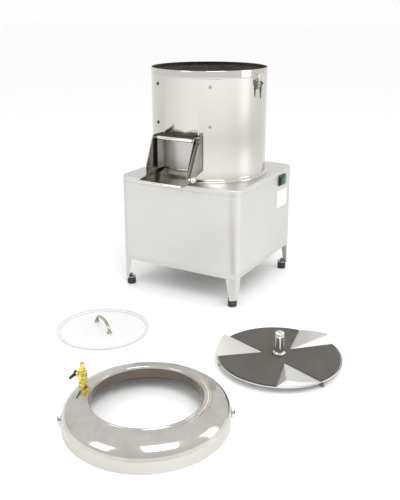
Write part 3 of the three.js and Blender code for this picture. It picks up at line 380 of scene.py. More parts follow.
def sheet_steel(name, dark, light, rough, grain=(6, 6, 700), marks=0.5, darker_below=0.0):
    """Stainless sheet: the grain is noise stretched along the way it was brushed, and the tone
    drifts with wide smudges. The roughness rises where the grain and the smudges do."""
    f = Finish(name)
    lines = f.noise(f.spread(*grain), 1.0, 3.0, 0.65)
    smudge = f.noise(f.spread(4, 4, 4), 1.0, 3.0, 0.5)
    scuff = f.noise(f.spread(60, 60, 60, shift=(9, 2, 4)), 1.0, 5.0, 0.7).band(0.64, 0.76)
    tone = f.mix(smudge.band(0.25, 0.75), dark, light)
    tone = f.mix(lines.band(0.35, 0.65) * 0.2, tone, tuple(0.9 * c for c in dark))
    tone = f.mix(scuff * 0.1, tone, tuple(min(1, 1.1 * c) for c in light))
    # darker towards the bottom: below the given height the tone darkens in patches, most at the floor
    if darker_below:
        near_floor = 1 - f.along(2).band(0.0, darker_below)
        tone = f.mix(near_floor * smudge.band(0.35, 0.75) * 0.3, tone, tuple(0.7 * c for c in dark))
    spread = (lines - 0.5) * 0.1 + (smudge - 0.5) * 0.06 * marks + scuff * 0.04 + rough
    return f.done(Base_Color=tone, Metallic=1.0, Roughness=spread, Normal=f.height(lines, 0.06, 0.0001))


def polished_steel(name, dark, light, rough, shade=None):
    """Rolled and buffed metal: nearly a mirror, with faint swirls and water marks. shade is
    (x, y, radius, height, colour): within that radius of an upright axis and below that height the
    metal's colour is painted over with that colour, a painted dark reflection."""
    f = Finish(name)
    swirl = f.noise(f.spread(14, 14, 14), 1.0, 3.0, 0.5)
    marks = f.cells(f.spread(70, 70, 70), 1.0).band(0.05, 0.5)
    haze = f.noise(f.spread(260, 260, 260), 1.0, 2.0)
    tone = f.mix(swirl.band(0.3, 0.7), dark, light)
    if shade:
        x, y, radius, height, color = shade
        away = f.distance(x, y)
        inside = (1 - away.band(radius, radius + 0.0006)) * (1 - f.along(2).band(height - 0.004, height))
        tone = f.mix(inside, tone, color)
    spread = (swirl - 0.5) * 0.06 + (1 - marks) * 0.02 + (haze - 0.5) * 0.03 + rough
    return f.done(Base_Color=tone, Metallic=1.0, Roughness=spread, Normal=f.height(swirl, 0.04, 0.0003))


def soft_black(name, color, rough, grain=900.0, dust=0.35, depth=0.0001):
    """Moulded rubber or plastic: a fine leathery grain, with pale dust that gathers in patches."""
    f = Finish(name)
    grit = f.cells(f.spread(grain, grain, grain), 1.0)
    patches = f.noise(f.spread(45, 45, 45), 1.0, 5.0, 0.65)
    wear = patches.band(0.55, 0.72)
    tone = f.mix(wear * dust, color, (0.16, 0.155, 0.145))
    tone = f.mix(grit.band(0.2, 0.8) * 0.3, tone, tuple(0.55 * c for c in color))
    spread = (patches - 0.5) * 0.2 + wear * 0.1 + rough
    return f.done(Base_Color=tone, Roughness=spread, Normal=f.height(grit, 0.25, depth))


def bonded_grit(name, low=(0.045, 0.04, 0.036), high=(0.15, 0.136, 0.122)):
    """Abrasive: coarse grains in dark resin, the tops of some worn pale, dark gaps between them."""
    f = Finish(name)
    grains = f.cells(f.spread(520, 520, 520), 1.0)
    small = f.cells(f.spread(1300, 1300, 1300), 1.0)
    each = f.add("TexVoronoi", {"feature": "F1"}, {"Vector": f.spread(520, 520, 520)}, "Color")
    each = f.add("SeparateColor", None, {0: each}, 0)
    patches = f.noise(f.spread(16, 16, 16), 1.0, 4.0, 0.6)
    tone = f.mix(each.band(0.1, 0.95), low, high)
    tone = f.mix(each.band(0.9, 0.97) * 0.6, tone, (0.4, 0.38, 0.35))
    tone = f.mix(grains.band(0.3, 0.75) * 0.55, tone, (0.022, 0.019, 0.017))
    tone = f.mix(patches.band(0.45, 0.7) * 0.3, tone, (0.13, 0.115, 0.1))
    spread = 0.92 - each.band(0.7, 1.0) * 0.25
    bumps = (1 - grains) * 0.8 + (1 - small) * 0.25
    return f.done(Base_Color=tone, Roughness=spread, Normal=f.height(bumps, 0.9, 0.0007))


def cast_metal(name, color, rough, metallic=1.0):
    """Sand-cast or turned metal: a mottled skin with turning lines and darker, oily hollows."""
    f = Finish(name)
    skin_noise = f.noise(f.spread(320, 320, 320), 1.0, 4.0, 0.6)
    oil = f.noise(f.spread(24, 24, 24), 1.0, 4.0, 0.65)
    lines = f.noise(f.spread(4, 4, 1500), 1.0, 1.0)
    tone = f.mix(oil.band(0.4, 0.7), color, tuple(0.5 * c for c in color))
    spread = (skin_noise - 0.5) * 0.25 - oil.band(0.5, 0.75) * 0.12 + rough
    normal = f.height(skin_noise * 0.8 + lines * 0.3, 0.3, 0.0002)
    return f.done(Base_Color=tone, Metallic=metallic, Roughness=spread, Normal=normal)


def enamel(name, color, rough=0.32, chips=0.5):
    """Sprayed paint with orange peel, a faint drift in tone and dust."""
    f = Finish(name)
    peel = f.noise(f.spread(500, 500, 500), 1.0, 2.0)
    drift = f.noise(f.spread(18, 18, 18), 1.0, 4.0, 0.6)
    tone = f.mix(drift.band(0.35, 0.7) * 0.5, color, tuple(0.86 * c for c in color))
    dots = f.noise(f.spread(150, 150, 150, shift=(4, 1, 2)), 1.0, 4.0, 0.7).band(0.7, 0.76) * chips
    tone = f.mix(dots, tone, tuple(0.55 * c for c in color))
    spread = (drift - 0.5) * 0.15 + dots * 0.2 + rough
    return f.done(Base_Color=tone, Roughness=spread, Normal=f.height(peel, 0.15, 0.0002))


def clear_sheet(name, x, y):
    """Clear sheet round an upright axis: faintly hazy, with fine scratches. It is painted greyer and
    more solid at its edge and over the step of its plug: a painted reflection of those edges."""
    f = Finish(name)
    away = f.distance(x, y)
    edge = away.band(0.1525, 0.1545)
    step = away.band(0.1435, 0.1455) * (1 - away.band(0.1465, 0.1485))
    haze = f.noise(f.spread(12, 12, 12), 1.0, 4.0, 0.6)
    scratches = f.noise(f.spread(30, 1400, 30), 1.0, 2.0).band(0.66, 0.75)
    alpha = edge * 0.5 + step * 0.25 + haze.band(0.4, 0.8) * 0.04 + scratches * 0.04 + 0.2
    tone = f.mix(edge * 0.8 + step * 0.5, (0.8, 0.81, 0.83), (0.4, 0.41, 0.43))
    spread = scratches * 0.15 + (haze - 0.5) * 0.04 + 0.08
    return f.done(Base_Color=tone, Roughness=spread, Alpha=alpha, IOR=1.49,
                  Normal=f.height(haze, 0.02, 0.0005))


def yellow_brass(name):
    """Machined brass, brighter on its edges of wear, with brown tarnish in patches."""
    f = Finish(name)
    patches = f.noise(f.spread(90, 90, 90), 1.0, 4.0, 0.6)
    lines = f.noise(f.spread(60, 60, 2400), 1.0, 2.0)
    tone = f.mix(patches.band(0.35, 0.7), (0.78, 0.66, 0.16), (0.5, 0.4, 0.08))
    tone = f.mix(lines.band(0.5, 0.8) * 0.35, tone, (0.88, 0.8, 0.42))
    spread = patches * 0.25 + lines * 0.1 + 0.1
    return f.done(Base_Color=tone, Metallic=0.9, Roughness=spread, Normal=f.height(lines, 0.2, 0.0001))


# the cabinet steel darkens in patches within 0.16 of the floor
cabinet_steel = sheet_steel("cabinet_steel", (0.6, 0.595, 0.57), (0.635, 0.63, 0.605), 0.46,
                            darker_below=0.16)
drum_steel = sheet_steel("drum_steel", (0.56, 0.54, 0.505), (0.6, 0.585, 0.55), 0.12, grain=(5, 5, 900))
door_steel = sheet_steel("door_steel", (0.5, 0.49, 0.465), (0.54, 0.53, 0.505), 0.34, grain=(5, 5, 500))
chute_steel = sheet_steel("chute_steel", (0.34, 0.325, 0.3), (0.42, 0.405, 0.38), 0.26, grain=(200, 5, 5))
disc_steel = sheet_steel("disc_steel", (0.64, 0.63, 0.61), (0.72, 0.715, 0.7), 0.32, grain=(160, 20, 20))
skirt_steel = sheet_steel("skirt_steel", (0.56, 0.545, 0.51), (0.6, 0.585, 0.555), 0.33, grain=(5, 5, 500))
# the ring's inner collar, within 151.9 of its axis and below 74 high, is painted dark brown: a painted dark
# reflection
ring_steel = polished_steel("ring_steel", (0.46, 0.44, 0.41), (0.54, 0.52, 0.49), 0.13,
                            (RING[0], RING[1], 0.1519, 0.074, (0.13, 0.11, 0.09)))
fitting_steel = sheet_steel("fitting_steel", (0.3, 0.29, 0.27), (0.42, 0.41, 0.39), 0.24,
                            grain=(90, 90, 90))
# steel painted near black: a painted dark reflection on the latch handles and the door's lever, and a
# painted shade on the left column of drum bolts
painted_dark_steel = sheet_steel("painted_dark_steel", (0.06, 0.056, 0.05), (0.12, 0.115, 0.105), 0.3, grain=(90, 90, 90))
chrome_wire = polished_steel("chrome_wire", (0.66, 0.64, 0.59), (0.78, 0.76, 0.71), 0.09)
bow_metal = polished_steel("bow_metal", (0.3, 0.26, 0.19), (0.48, 0.44, 0.36), 0.14)
foot_rubber = soft_black("foot_rubber", (0.018, 0.018, 0.018), 0.6)
seal_rubber = soft_black("seal_rubber", (0.02, 0.017, 0.015), 0.5, dust=0.2)
belt_rubber = soft_black("belt_rubber", (0.025, 0.024, 0.023), 0.7, dust=0.6)
switch_plastic = soft_black("switch_plastic", (0.012, 0.016, 0.016), 0.35, grain=1600.0, dust=0.1,
                            depth=0.00005)
knob_plastic = soft_black("knob_plastic", (0.02, 0.02, 0.02), 0.3, grain=1500.0, dust=0.1, depth=0.00004)
green_plastic = enamel("green_plastic", (0.02, 0.2, 0.12), 0.25, 0.2)
plate_paint = enamel("plate_paint", (0.9, 0.9, 0.885), 0.4, 0.15)
motor_paint = enamel("motor_paint", (0.08, 0.12, 0.17), 0.35, 0.6)
# the liner's copy of the grit is darker than the disc's plain one: a painted shade inside the drum
grit = bonded_grit("grit", (0.02, 0.018, 0.016), (0.06, 0.054, 0.048))
grit_plain = bonded_grit("grit_plain")
casting = cast_metal("casting", (0.24, 0.24, 0.245), 0.5)
turned_steel = cast_metal("turned_steel", (0.5, 0.5, 0.5), 0.3)
acrylic = clear_sheet("acrylic", LID[0], LID[1])
brass = yellow_brass("brass")

# ---------------------------------------------------------------- cabinet

TOP = 440.0  # the cabinet's top, above the floor


def cabinet_outline(inset, switch=(110.7, 163.3), rear=198.0):
    """A square of 500 with corners of radius 38, drawn in by the inset, anticlockwise from the
    front end of the right side. The right side has points at the switch hole's edges and the
    rear side at the rear opening's."""
    half, r = 250 - inset, 38 - inset
    c = half - r
    corners = [arc(r, q, q + 90, 10, (x * c, y * c))
               for q, x, y in ((0, 1, 1), (90, -1, 1), (180, -1, -1), (270, 1, -1))]
    right = np.array([(half, y) for y in (-c / 2, 0, *switch)])
    back = np.array([(x, half) for x in (rear, 0, -rear)])
    return np.concatenate([right, corners[0], back, corners[1], corners[2], corners[3]])


def cabinet_skin():
    """The cabinet's outer face: upright from a hem that is set in, past a seam under the top cover's
    skirt, over a top edge of radius 4, and across the top to the waste port's round rim at (0, 150)."""
    levels = [(110, 0.9), (121.4, 0.9), (122.4, 0.3), (132, 0.3), (383.7, 0.3), (416.3, 0.3), (417.2, 0.4),
              (417.6, 1.3), (418.2, 1.3), (418.5, 0.2), (419, 0), (436, 0)]
    levels += [(436 + 4 * math.sin(a), 4 * (1 - math.cos(a))) for a in np.radians(np.arange(15, 91, 15))]
    sides = np.stack([np.c_[cabinet_outline(inset), np.full(len(cabinet_outline(0)), z)]
                      for z, inset in levels])
    out = sides[-1, :, :2] - (0, 150)
    rim = out / np.linalg.norm(out, axis=1, keepdims=True) * 30.8 + (0, 150)
    share = np.array([0.25, 0.5, 0.75, 1.0])[:, None, None]
    flat = sides[-1:, :, :2] * (1 - share) + rim[None] * share
    points = np.concatenate([sides, np.concatenate([flat, np.full((*flat.shape[:2], 1), TOP)], 2)])
    mid = (points[:-1] + points[1:]) / 2
    mid = (mid + np.roll(mid, -1, 1)) / 2
    rear = (mid[..., 1] > 249) & (abs(mid[..., 0]) < 198) & (mid[..., 2] > 132) & (mid[..., 2] < 418)
    switch = (mid[..., 0] > 249) & (abs(mid[..., 1] - 137) < 26) & (abs(mid[..., 2] - 400) < 16)
    return skin(points, around=True, keep=~(rear | switch))


piece("cabinet_body", [cabinet_skin()], cabinet_steel, "cabinet_shell", wall=2,
      bevel=0.3)


FOOT = 224  # from the machine's axis to a foot's, along x and along y


def corner_leg(x, y):
    """A folded sheet round the corner: its outer face follows the cabinet's outline 1.5 inside, and
    both arms end on a line that leans in from 42 at the top to 27 at the foot."""
    levels = np.linspace(26, 109.7, 12)
    rows = []
    for z in levels:
        arm = 27 + 15 * (z - 26) / 84
        bend = arc(36.5, 0, 90, 20, (212, 212))
        if arm < 38:
            bend = bend[(bend > 250 - arm).all(axis=1)]
        reach = math.sqrt(36.5**2 - max(38 - arm, 0) ** 2)
        ends = [[(212 + reach, 250 - arm)], [(250 - arm, 212 + reach)]]
        line = np.concatenate([ends[0], bend, ends[1]])
        s = np.r_[0, np.cumsum(np.linalg.norm(np.diff(line, axis=0), axis=1))]
        even = np.linspace(0, s[-1], 20)
        rows.append(np.c_[np.interp(even, s, line[:, 0]), np.interp(even, s, line[:, 1]), np.full(20, z)])
    grid = np.stack(rows) * (x, y, 1)
    return skin(grid[:, ::-1] if x * y < 0 else grid)


for end, y in (("front", -1), ("rear", 1)):
    for side, x in (("left", -1), ("right", 1)):
        name = f"leg_{end}_{side}"
        piece(name + "_sheet", [corner_leg(x, y)], cabinet_steel, name, wall=3,
              bevel=0.4)
        seat = turned(rounded([(5.8, 26), (17.4, 26), (17.4, 30), (5.8, 30)], 0.5, closed=True), 40)
        piece(name + "_seat", [moved(seat, (FOOT * x, FOOT * y, 0))], fitting_steel)
        tread = [(0, 0.8), (11, 0.8), (12, 0), (15.6, 0), (16.5, 1), (16.5, 6), (15.9, 7), (16.5, 8),
                 (16.5, 13), (15.9, 14), (16.5, 15), (16.2, 22.6), (15, 25.7), (0, 25.7)]
        piece(f"foot_{end}_{side}_pad",
              [moved(turned(rounded(tread, 0.5, 3), 56, closed=False), (FOOT * x, FOOT * y, 0))],
              foot_rubber, f"foot_{end}_{side}")
        stud = [(0, 25.8), (5, 25.8), (5, 30.4), (8.6, 30.4), (9, 31), (9, 35.4), (8.6, 36), (5, 36),
                (5, 41.6), (4.4, 42), (0, 42)]
        nut = moved(turned(stud, 6, closed=False), (FOOT * x, FOOT * y, 0))
        piece(f"foot_{end}_{side}_stud", [nut], fitting_steel)


SWITCH_Y = {"stop": 123.2, "start": 150.8}
wells = [slab(rectangle((y - 11.3, y + 11.3), (386.7, 413.3), 2.2), 241.3, 262, 0.1, "x")
         for y in SWITCH_Y.values()]
bezel = slab(rectangle((107, 167), (380, 420), 4.5, 6), 250.3, 255.3, 1.4, "x", 5)
piece("switch_bezel", [bezel], switch_plastic, "switch_housing", holes=wells,
      bevel=0.3)
box_behind = slab(rectangle((111, 163), (384, 416), 1.5), 208.3, 250.2, 0.5, "x")
piece("switch_box", [box_behind], switch_plastic, holes=wells)
for key, finish, slot in (("stop", switch_plastic, "black_plastic"),
                          ("start", green_plastic, "green_plastic")):
    y = SWITCH_Y[key]
    cap = slab(rectangle((y - 11, y + 11), (387, 413), 2.2, 5), 244.6, 259.4, 1.6, "x", 6)
    mark = slab(rectangle((y - 7.5, y + 7.5), (390.5, 409.5), 5, 5), 258.8, 259.8, 0.45, "x", 3)
    piece(f"{key}_cap", [cap, mark], finish, f"{key}_button", body=f"{key}_key")

label = slab(rectangle((92, 187), (293, 360), 3, 5), 250.3, 250.9, 0.25, "x")
piece("blank_plate", [label], plate_paint, "rating_plate", bevel=0)
frame_line = slab(rectangle((96, 183), (297, 356), 2, 4), 250.85, 251.05, 0.08, "x")
piece("blank_plate_border", [frame_line], fitting_steel,
      holes=[slab(rectangle((97, 182), (298, 355), 1.6, 4), 249, 253, 0.01, "x")])

# louvre hoods over the slots of the rear panel: they stand out by 6 sin(90 v) (1 - u^6)
hoods = []
for x in (-95, 95):
    for row in range(6):
        z = 220 + 18 * row
        u, v = np.meshgrid(np.linspace(-1, 1, 29), np.linspace(0, 1, 9))
        out = 251.9 + 6 * np.sin(v * np.pi / 2) * (1 - u**6)
        hoods.append(skin(np.stack([x - 63 * u, out, z + 10.5 - 11 * v], -1)))
piece("louvre_hoods", hoods, cabinet_steel, wall=1.0)
screw = [(0, 0.2), (4.2, 0.2), (4.2, 0.9), (3.4, 2.0), (1.9, 2.4), (1.7, 2.4), (1.7, 1.3), (0, 1.3)]
screws = [moved(turned(screw, 20, closed=False), (x, 251.8, z), tilt=UP_TO_Y) for x in (-202, 0, 202)
          for z in (127, 423)]
screws += [moved(turned(screw, 20, closed=False), (x, 251.8, 275), tilt=UP_TO_Y) for x in (-202, 202)]
piece("panel_screws", screws, fitting_steel)

hexagon = [(4.6, 0), (12.4, 0), (13, 0.7), (13, 7.3), (12.4, 8), (4.6, 8)]
dome_nut = rounded([(4.6, 8), (10, 8), (10, 15.5), (7, 18), (4.6, 18)], 1.2, closed=True)
sleeve = [(4.6, -12), (8, -12), (8, 0.2), (4.6, 0.2)]
inner_nut = [(8, -10.2), (13, -10.2), (13, -2.3), (8, -2.3)]
gland = [turned(hexagon, 6), turned(dome_nut, 40), turned(sleeve, 40), turned(inner_nut, 6)]
piece("supply_gland", [moved(part, (150, 252.1, 160), tilt=UP_TO_Y) for part in gland], switch_plastic,
      "cable_gland", sharp=30)


def pipe(path, outer, inner, across):
    """A hollow pipe: circles of both radii stand across the path, the outer ones forwards and the
    inner ones back, and both ends are closed by flat rims."""
    tubes = [bar(path, r, across, 40)[1:-1] for r in (outer, inner)]
    return skin(np.concatenate([tubes[0], tubes[1][::-1]]), around=True, over=True)


bend = arc(45, 180, 270, 12, (195, 400))
route = np.concatenate([[(0, 150, 439.7), (0, 150, 420)], np.c_[np.zeros(13), bend],
                        [(0, 240, 355), (0, 290, 355)]])
piece("drain_pipe", [pipe(route, 30, 28, (1, 0, 0))], fitting_steel, "waste_pipe",
      bevel=0.4)
grommet = rounded([(30.1, -2.4), (36.5, -2.4), (36.5, -0.2), (31.4, -0.2), (31.4, 1.6), (36.5, 1.6),
                   (36.5, 4), (30.1, 4)], 0.9, closed=True)
piece("pipe_grommet", [moved(turned(grommet, 56), (0, 250.3, 355), tilt=UP_TO_Y)], seal_rubber)

# ---------------------------------------------------------------- drum

DOOR_SIDE = math.degrees(math.asin(68.5 / 218))  # the opening's half angle


def with_door(profile, step, low=486, high=594, inward=False):
    """A lathe shape that leaves out the door's opening, which faces -Y between two heights."""
    angles = np.unique(np.round(np.r_[np.arange(0, 360, step), 270 - DOOR_SIDE, 270 + DOOR_SIDE], 5))
    if inward:
        angles = angles[::-1]
    points = lathe(profile, angles)
    turn = (angles + (np.roll(angles, -1) - angles + 180) % 360 / 2 - 90) % 360
    z = (points[:-1, 0, 2] + points[1:, 0, 2]) / 2
    door = (abs(turn - 270) < DOOR_SIDE)[None] & ((z > low) & (z < high))[:, None]
    return points, ~door


shell = [(227, 440.3), (227, 443.2), (225.6, 445.2), (222.2, 447.8), (219.4, 449.6), (218.3, 451.4),
         (218, 454), (218, 486), (218, 594), (218, 810.4), (218.3, 811.3), (218.8, 812), (219, 813),
         (219, 838.2), (218.8, 839.4), (218.2, 840)]
points, walls = with_door(shell, 2.0)
piece("drum_wall", [skin(points, around=True, keep=walls)], drum_steel, "drum_shell",
      wall=2.0, bevel=0.35)
piece("drum_weld", [skin(bar([(0, 218.1, 452), (0, 218.1, 630), (0, 218.1, 810)], (0.4, 0.9, 0.4),
                             (1, 0, 0)), around=True)],
      fitting_steel)

levels = np.unique(np.r_[np.linspace(457.3, 824, 98), 486, 594])
points, walls = with_door(np.c_[np.full(len(levels), 209.9), levels], 1.7, inward=True)
bumps = ripple(points.shape[:2], 11) * 0.55
out = points[..., :2] / 209.9
points[..., :2] += out * bumps[..., None]
points[0, :, 2], points[-1, :, 2] = 457.3, 823.6 + bumps[-1] * 0.4
# the liner takes the darker grit copy, a painted shade
piece("grit_liner", [skin(points, around=True, keep=walls)], grit, "abrasive_liner",
      wall=5.2, sharp=60)

dish = rounded([(24, 440.3), (215.7, 440.3), (215.7, 455.3), (213.7, 455.3), (213.7, 443.3), (30, 443.3),
                (30, 462.3), (24, 462.3)], [0.3, 0.3, 0.8, 0.8, 9, 5, 1.2, 1.2], 5, closed=True)
port = moved(turned([(0, 420), (28, 420), (28, 460), (0, 460)], 64, closed=False), (0, 150, 0))
piece("chamber_dish", [turned(dish, 128)], drum_steel, "chamber_floor", holes=[port],
      bevel=0.3)

socket_head = [(0, -8), (3, -8), (3, 0.4), (6, 0.4), (6, 1.5), (5.5, 2.6), (4.4, 3.3), (3, 3.5),
               (2.4, 3.5), (2.4, 1.6), (0, 1.2)]
for number, (angle, z) in enumerate([(-120, 645), (-120, 785), (-60, 645), (-60, 785)], 1):
    head = moved(turned(socket_head, 24, closed=False), (218, 0, z), tilt=UP_TO_X)
    # the bolts at -120 degrees take the near-black steel, a painted shade; those at -60 keep the plain
    # fitting steel
    steel = painted_dark_steel if angle == -120 else fitting_steel
    piece(f"drum_bolt_{number}", [moved(head, turn=angle)], steel, f"liner_bolt_{number}")

# ---------------------------------------------------------------- chute and door

FLOOR = rounded([(-109, 485.5), (-204, 485), (-256, 474.5), (-280, 464), (-311, 458), (-345, 457),
                 (-357, 461)], [0, 8, 7, 9, 12, 6, 0])


def chute_floor():
    """A sheet across the chute: at each x it runs from the drum, y = -sqrt(218.5^2 - x^2), to the
    lip, at the height of the floor's line."""
    x = np.linspace(86, -86, 45)
    start = -np.sqrt(218.5**2 - x**2)
    share = np.linspace(0, 1, 4)[:, None]
    y = start * (1 - share) - 226 * share
    rest = np.unique(np.round(FLOOR[FLOOR[:, 0] < -230, 0], 3))[::-1]
    y = np.concatenate([y, np.repeat(rest[:, None], len(x), 1)])
    line = FLOOR[np.argsort(FLOOR[:, 0])]
    z = np.interp(y, line[:, 0], line[:, 1])
    return skin(np.stack([np.broadcast_to(x, y.shape), y, z], -1))


piece("chute_floor", [chute_floor()], chute_steel, "discharge_chute", wall=2.0,
      bevel=0.3)
cheek = rounded([(-201.2, 612.5), (-262, 612.5), (-309, 507), (-310, 471), (-350, 465), (-357, 462),
                 (-358, 458.5), (-345, 455), (-311, 456), (-280, 462), (-256, 472.5), (-204, 483),
                 (-201.2, 483)], [2, 12, 14, 8, 6, 2, 2, 5, 8, 8, 8, 2, 1], closed=True)
cheeks = [slab(cheek, low, low + 2, 0.55, "x") for low in (-86, 84)]
for x, low in ((-87.2, -86), (87.2, 84)):
    seam = [(x, -200.2, z) for z in (485, 548, 611)]
    cheeks.append(skin(bar(seam, (1.0, 1.6, 1.0), (1, 0, 0), 10), around=True))
piece("chute_cheeks", cheeks, chute_steel)
hems = [rounded([(x, -262, 611.4), (x, -309, 507), (x, -310, 471), (x, -350, 465)], [0, 14, 8, 0], 6)
        for x in (-85, 85)]
piece("chute_hems", [skin(bar(hem[6:-6], 1.7, (1, 0, 0), 12), around=True) for hem in hems], chute_steel)
piece("chute_lip", [rod((-88, -357, 460), (88, -357, 460), 4.5, edge=1.6, around=24)], chrome_wire)


def facing_front(radius, half_width, steps=24):
    """The arc of a circle round the drum's axis between x = -half_width and half_width, at -Y."""
    half = math.degrees(math.asin(half_width / radius))
    return arc(radius, 270 - half, 270 + half, steps)


front = facing_front(220.6, 72.5)
z = np.array([487.0, 489, 540, 594, 596])[:, None]
leaf = np.stack([front[:, 0] + 0 * z, front[:, 1] + 0 * z, z + 0 * front[:, 0]], -1)
piece("door_panel", [skin(leaf)], door_steel, "door_leaf", body="door", wall=2.0,
      bevel=0.3)
side = rounded([(-206.6, 487), (-252, 487), (-252, 598), (-246, 596), (-206.6, 596)], [1, 5, 1, 1, 1],
               closed=True)
top = np.concatenate([facing_front(219, 72.5), [(72.5, -250), (-72.5, -250)]])
leaf_parts = [slab(side, -72.5, -70.5, 0.5, "x"), slab(side, 70.5, 72.5, 0.5, "x"),
              slab(top, 594, 596, 0.4)]
piece("door_box", leaf_parts, door_steel, body="door")
HINGE = (-250, 600.5)  # y and z of the door's hinge line
knuckle = rod((-72.5, *HINGE), (72.5, *HINGE), 6.7, edge=0.8, around=28)
piece("door_knuckle", [knuckle], chrome_wire, body="door")
piece("hinge_rod", [rod((-92, *HINGE), (100, *HINGE), 4, edge=1.2, around=20)], fitting_steel,
      "door_hinge_rod", body="door")
lever_arm = rounded([(-242.94, 596.74), (-257.06, 604.26), (-318.4, 480.5), (-311.2, 476.8)],
                    [3, 3, 3.4, 3.4], closed=True)
hub = rod((88.5, *HINGE), (99.5, *HINGE), 11, edge=1.2, around=32)
piece("opening_lever", [slab(lever_arm, 91.5, 96.5, 0.9, "x"), hub], painted_dark_steel, "door_lever", body="door")
ball = np.r_[[(0, 0), (5, 0), (5, 4.4)], arc(11, -64, 84, 18, (0, 14.9)), [(0, 25.9)]]
piece("ball_knob", [moved(turned(ball, 40, closed=False), (96.8, -314.8, 478.65), tilt=UP_TO_X)],
      chrome_wire,
      "door_knob", body="door")

seal_side = rounded([(-203.5, 489), (-242, 489), (-242, 594), (-228, 607), (-203.5, 607)], [1, 3, 4, 4, 1],
                    closed=True)
seal_top = np.concatenate([facing_front(218.4, 83.7), [(83.7, -228), (-83.7, -228)]])
ribs = [skin(bar([(x, -242, 491), (x, -242, 540), (x, -242, 592)], 1.5, (1, 0, 0), 10), around=True)
        for x in (-81.5, -76.5, 76.5, 81.5)]
piece("door_gasket", [slab(seal_side, -83.7, -74, 1.4, "x"), slab(seal_side, 74, 83.7, 1.4, "x"),
                      slab(seal_top, 597.5, 607, 1.2), *ribs],
      seal_rubber, "door_seal")

# ---------------------------------------------------------------- toggle latches


def loop(corners, radius, bend_radius, across, around=12):
    """A closed ring of wire: its centre line is a polygon with rounded corners."""
    p = rounded(corners, bend_radius, 6, closed=True)
    p = p[np.linalg.norm(p - np.roll(p, 1, 0), axis=1) > 1e-6]
    along = np.roll(p, -1, 0) - np.roll(p, 1, 0)
    along /= np.linalg.norm(along, axis=1, keepdims=True)
    side = np.cross(along, across)
    a = (np.arange(around) * 2 * np.pi / around)[None, :, None]
    tube = p[:, None] + radius * (np.cos(a) * side[:, None] + np.sin(a) * np.asarray(across, float))
    return skin(tube, around=True, over=True)


def latch_blade():
    """A tapering handle: at each height its section is |x/t|^3 + |y/w|^3 = 1, with half width w and
    half thickness t from the tables, and its middle bows out towards the tip."""
    z = np.linspace(796, 734.4, 34)
    heights = [734.4, 737, 750, 768, 775, 790, 794, 796]
    w = np.interp(z, heights, [0.4, 1.9, 3.6, 6.4, 5.2, 5.0, 4.2, 0.6])
    t = np.interp(z, heights, [0.3, 1.2, 1.6, 2.2, 2.8, 3.0, 2.4, 0.4])
    middle_x = np.interp(z, [734, 750, 779, 796], [231.6, 230.4, 231.2, 230.2])
    a = np.arange(24) * 2 * np.pi / 24
    c, s = np.cos(a), np.sin(a)
    c, s = np.sign(c) * abs(c) ** (2 / 3), np.sign(s) * abs(s) ** (2 / 3)
    grid = np.stack([middle_x[:, None] + t[:, None] * c, w[:, None] * s, z[:, None] + 0 * c], -1)
    ends = np.stack([middle_x, 0 * z, z], -1)[[0, -1], None] + 0 * grid[:1]
    return skin(np.concatenate([ends[:1], grid, ends[1:]]), around=True)


rivet = rounded([(0, 0), (2.6, 0), (2.4, 0.9), (0, 1.3)], [0, 0.4, 0.8, 0], 3)
for name, at in LATCHES.items():
    back = slab(rectangle((-13, 13), (768, 807), 4), 218.4, 220.3, 0.5, "x")
    ear = np.concatenate([[(219.3, 782), (219.3, 798)], arc(7, 90, -90, 14, (230, 790))])
    parts = [back] + [slab(ear, low, low + 2, 0.5, "y") for low in (6, -8)]
    parts += [moved(turned(rivet, 20, closed=False), (220.2, y, z), tilt=UP_TO_X)
              for y, z in ((0, 772.6), (-9.5, 802.5), (9.5, 802.5))]
    piece(f"{name}_bracket", parts, fitting_steel, f"latch_plate_{name}", at=at)
    pin = rod((230, -9.5, 790), (230, 9.5, 790), 2.2, edge=0.6)
    piece(f"{name}_handle", [latch_blade(), pin], painted_dark_steel, f"latch_lever_{name}", at=at,
          body=f"{name}_lever")
    wire = [(231.5, -12, 779), (231.5, 12, 779), (231.5, 12, 812), (231.5, 7, 824), (231.5, -7, 824),
            (231.5, -12, 812)]
    piece(f"{name}_wire", [loop(wire, 1.6, [3, 3, 8, 7, 7, 8], (1, 0, 0))], chrome_wire,
          f"latch_bail_{name}", at=at,
          body=f"{name}_bail")

# ---------------------------------------------------------------- spray ring and its valve


def dome_line(margin, steps=24):
    """A quarter ellipse from the skirt at radius 222 to the rim at 158, moved out by a margin:
    158 + (64 + m) cos a and 35.3 + (41 + m) sin a."""
    a = np.radians(np.linspace(0, 90, steps + 1))
    return np.c_[158 + (64 + margin) * np.cos(a), 35.3 + (41 + margin) * np.sin(a)]


bead = arc(3.1, 30, 180, 12, (153.3, 75.6))
collar = [(150.1, 72), (150, 60), (150, 45), (150.6, 44.3), (151.4, 44.3), (151.8, 45), (151.8, 70),
          (153, 74.4)]
dome = np.concatenate([dome_line(0), bead, collar, dome_line(-1.8)[::-1]])
valve_angle = math.radians(155)  # from the ring's own front to the valve
nipple_hole = moved(turned([(0, 30), (8.3, 30), (8.3, 90), (0, 90)], 40, closed=False),
                    (190 * math.cos(valve_angle), 190 * math.sin(valve_angle), 0))
piece("spray_dome", [turned(dome, 180)], ring_steel, "ring_dome", RING, "spray_ring",
      holes=[nipple_hole])
skirt = rounded([(220.2, 0), (222, 0), (222.5, 1.5), (222, 3.2), (222, 33.6), (221.2, 35), (220.2, 35)],
                [0.3, 0.4, 0.9, 1, 1, 0.8, 0.3], 3, closed=True)
piece("spray_skirt", [turned(skirt, 180)], skirt_steel, "ring_skirt", RING, "spray_ring")

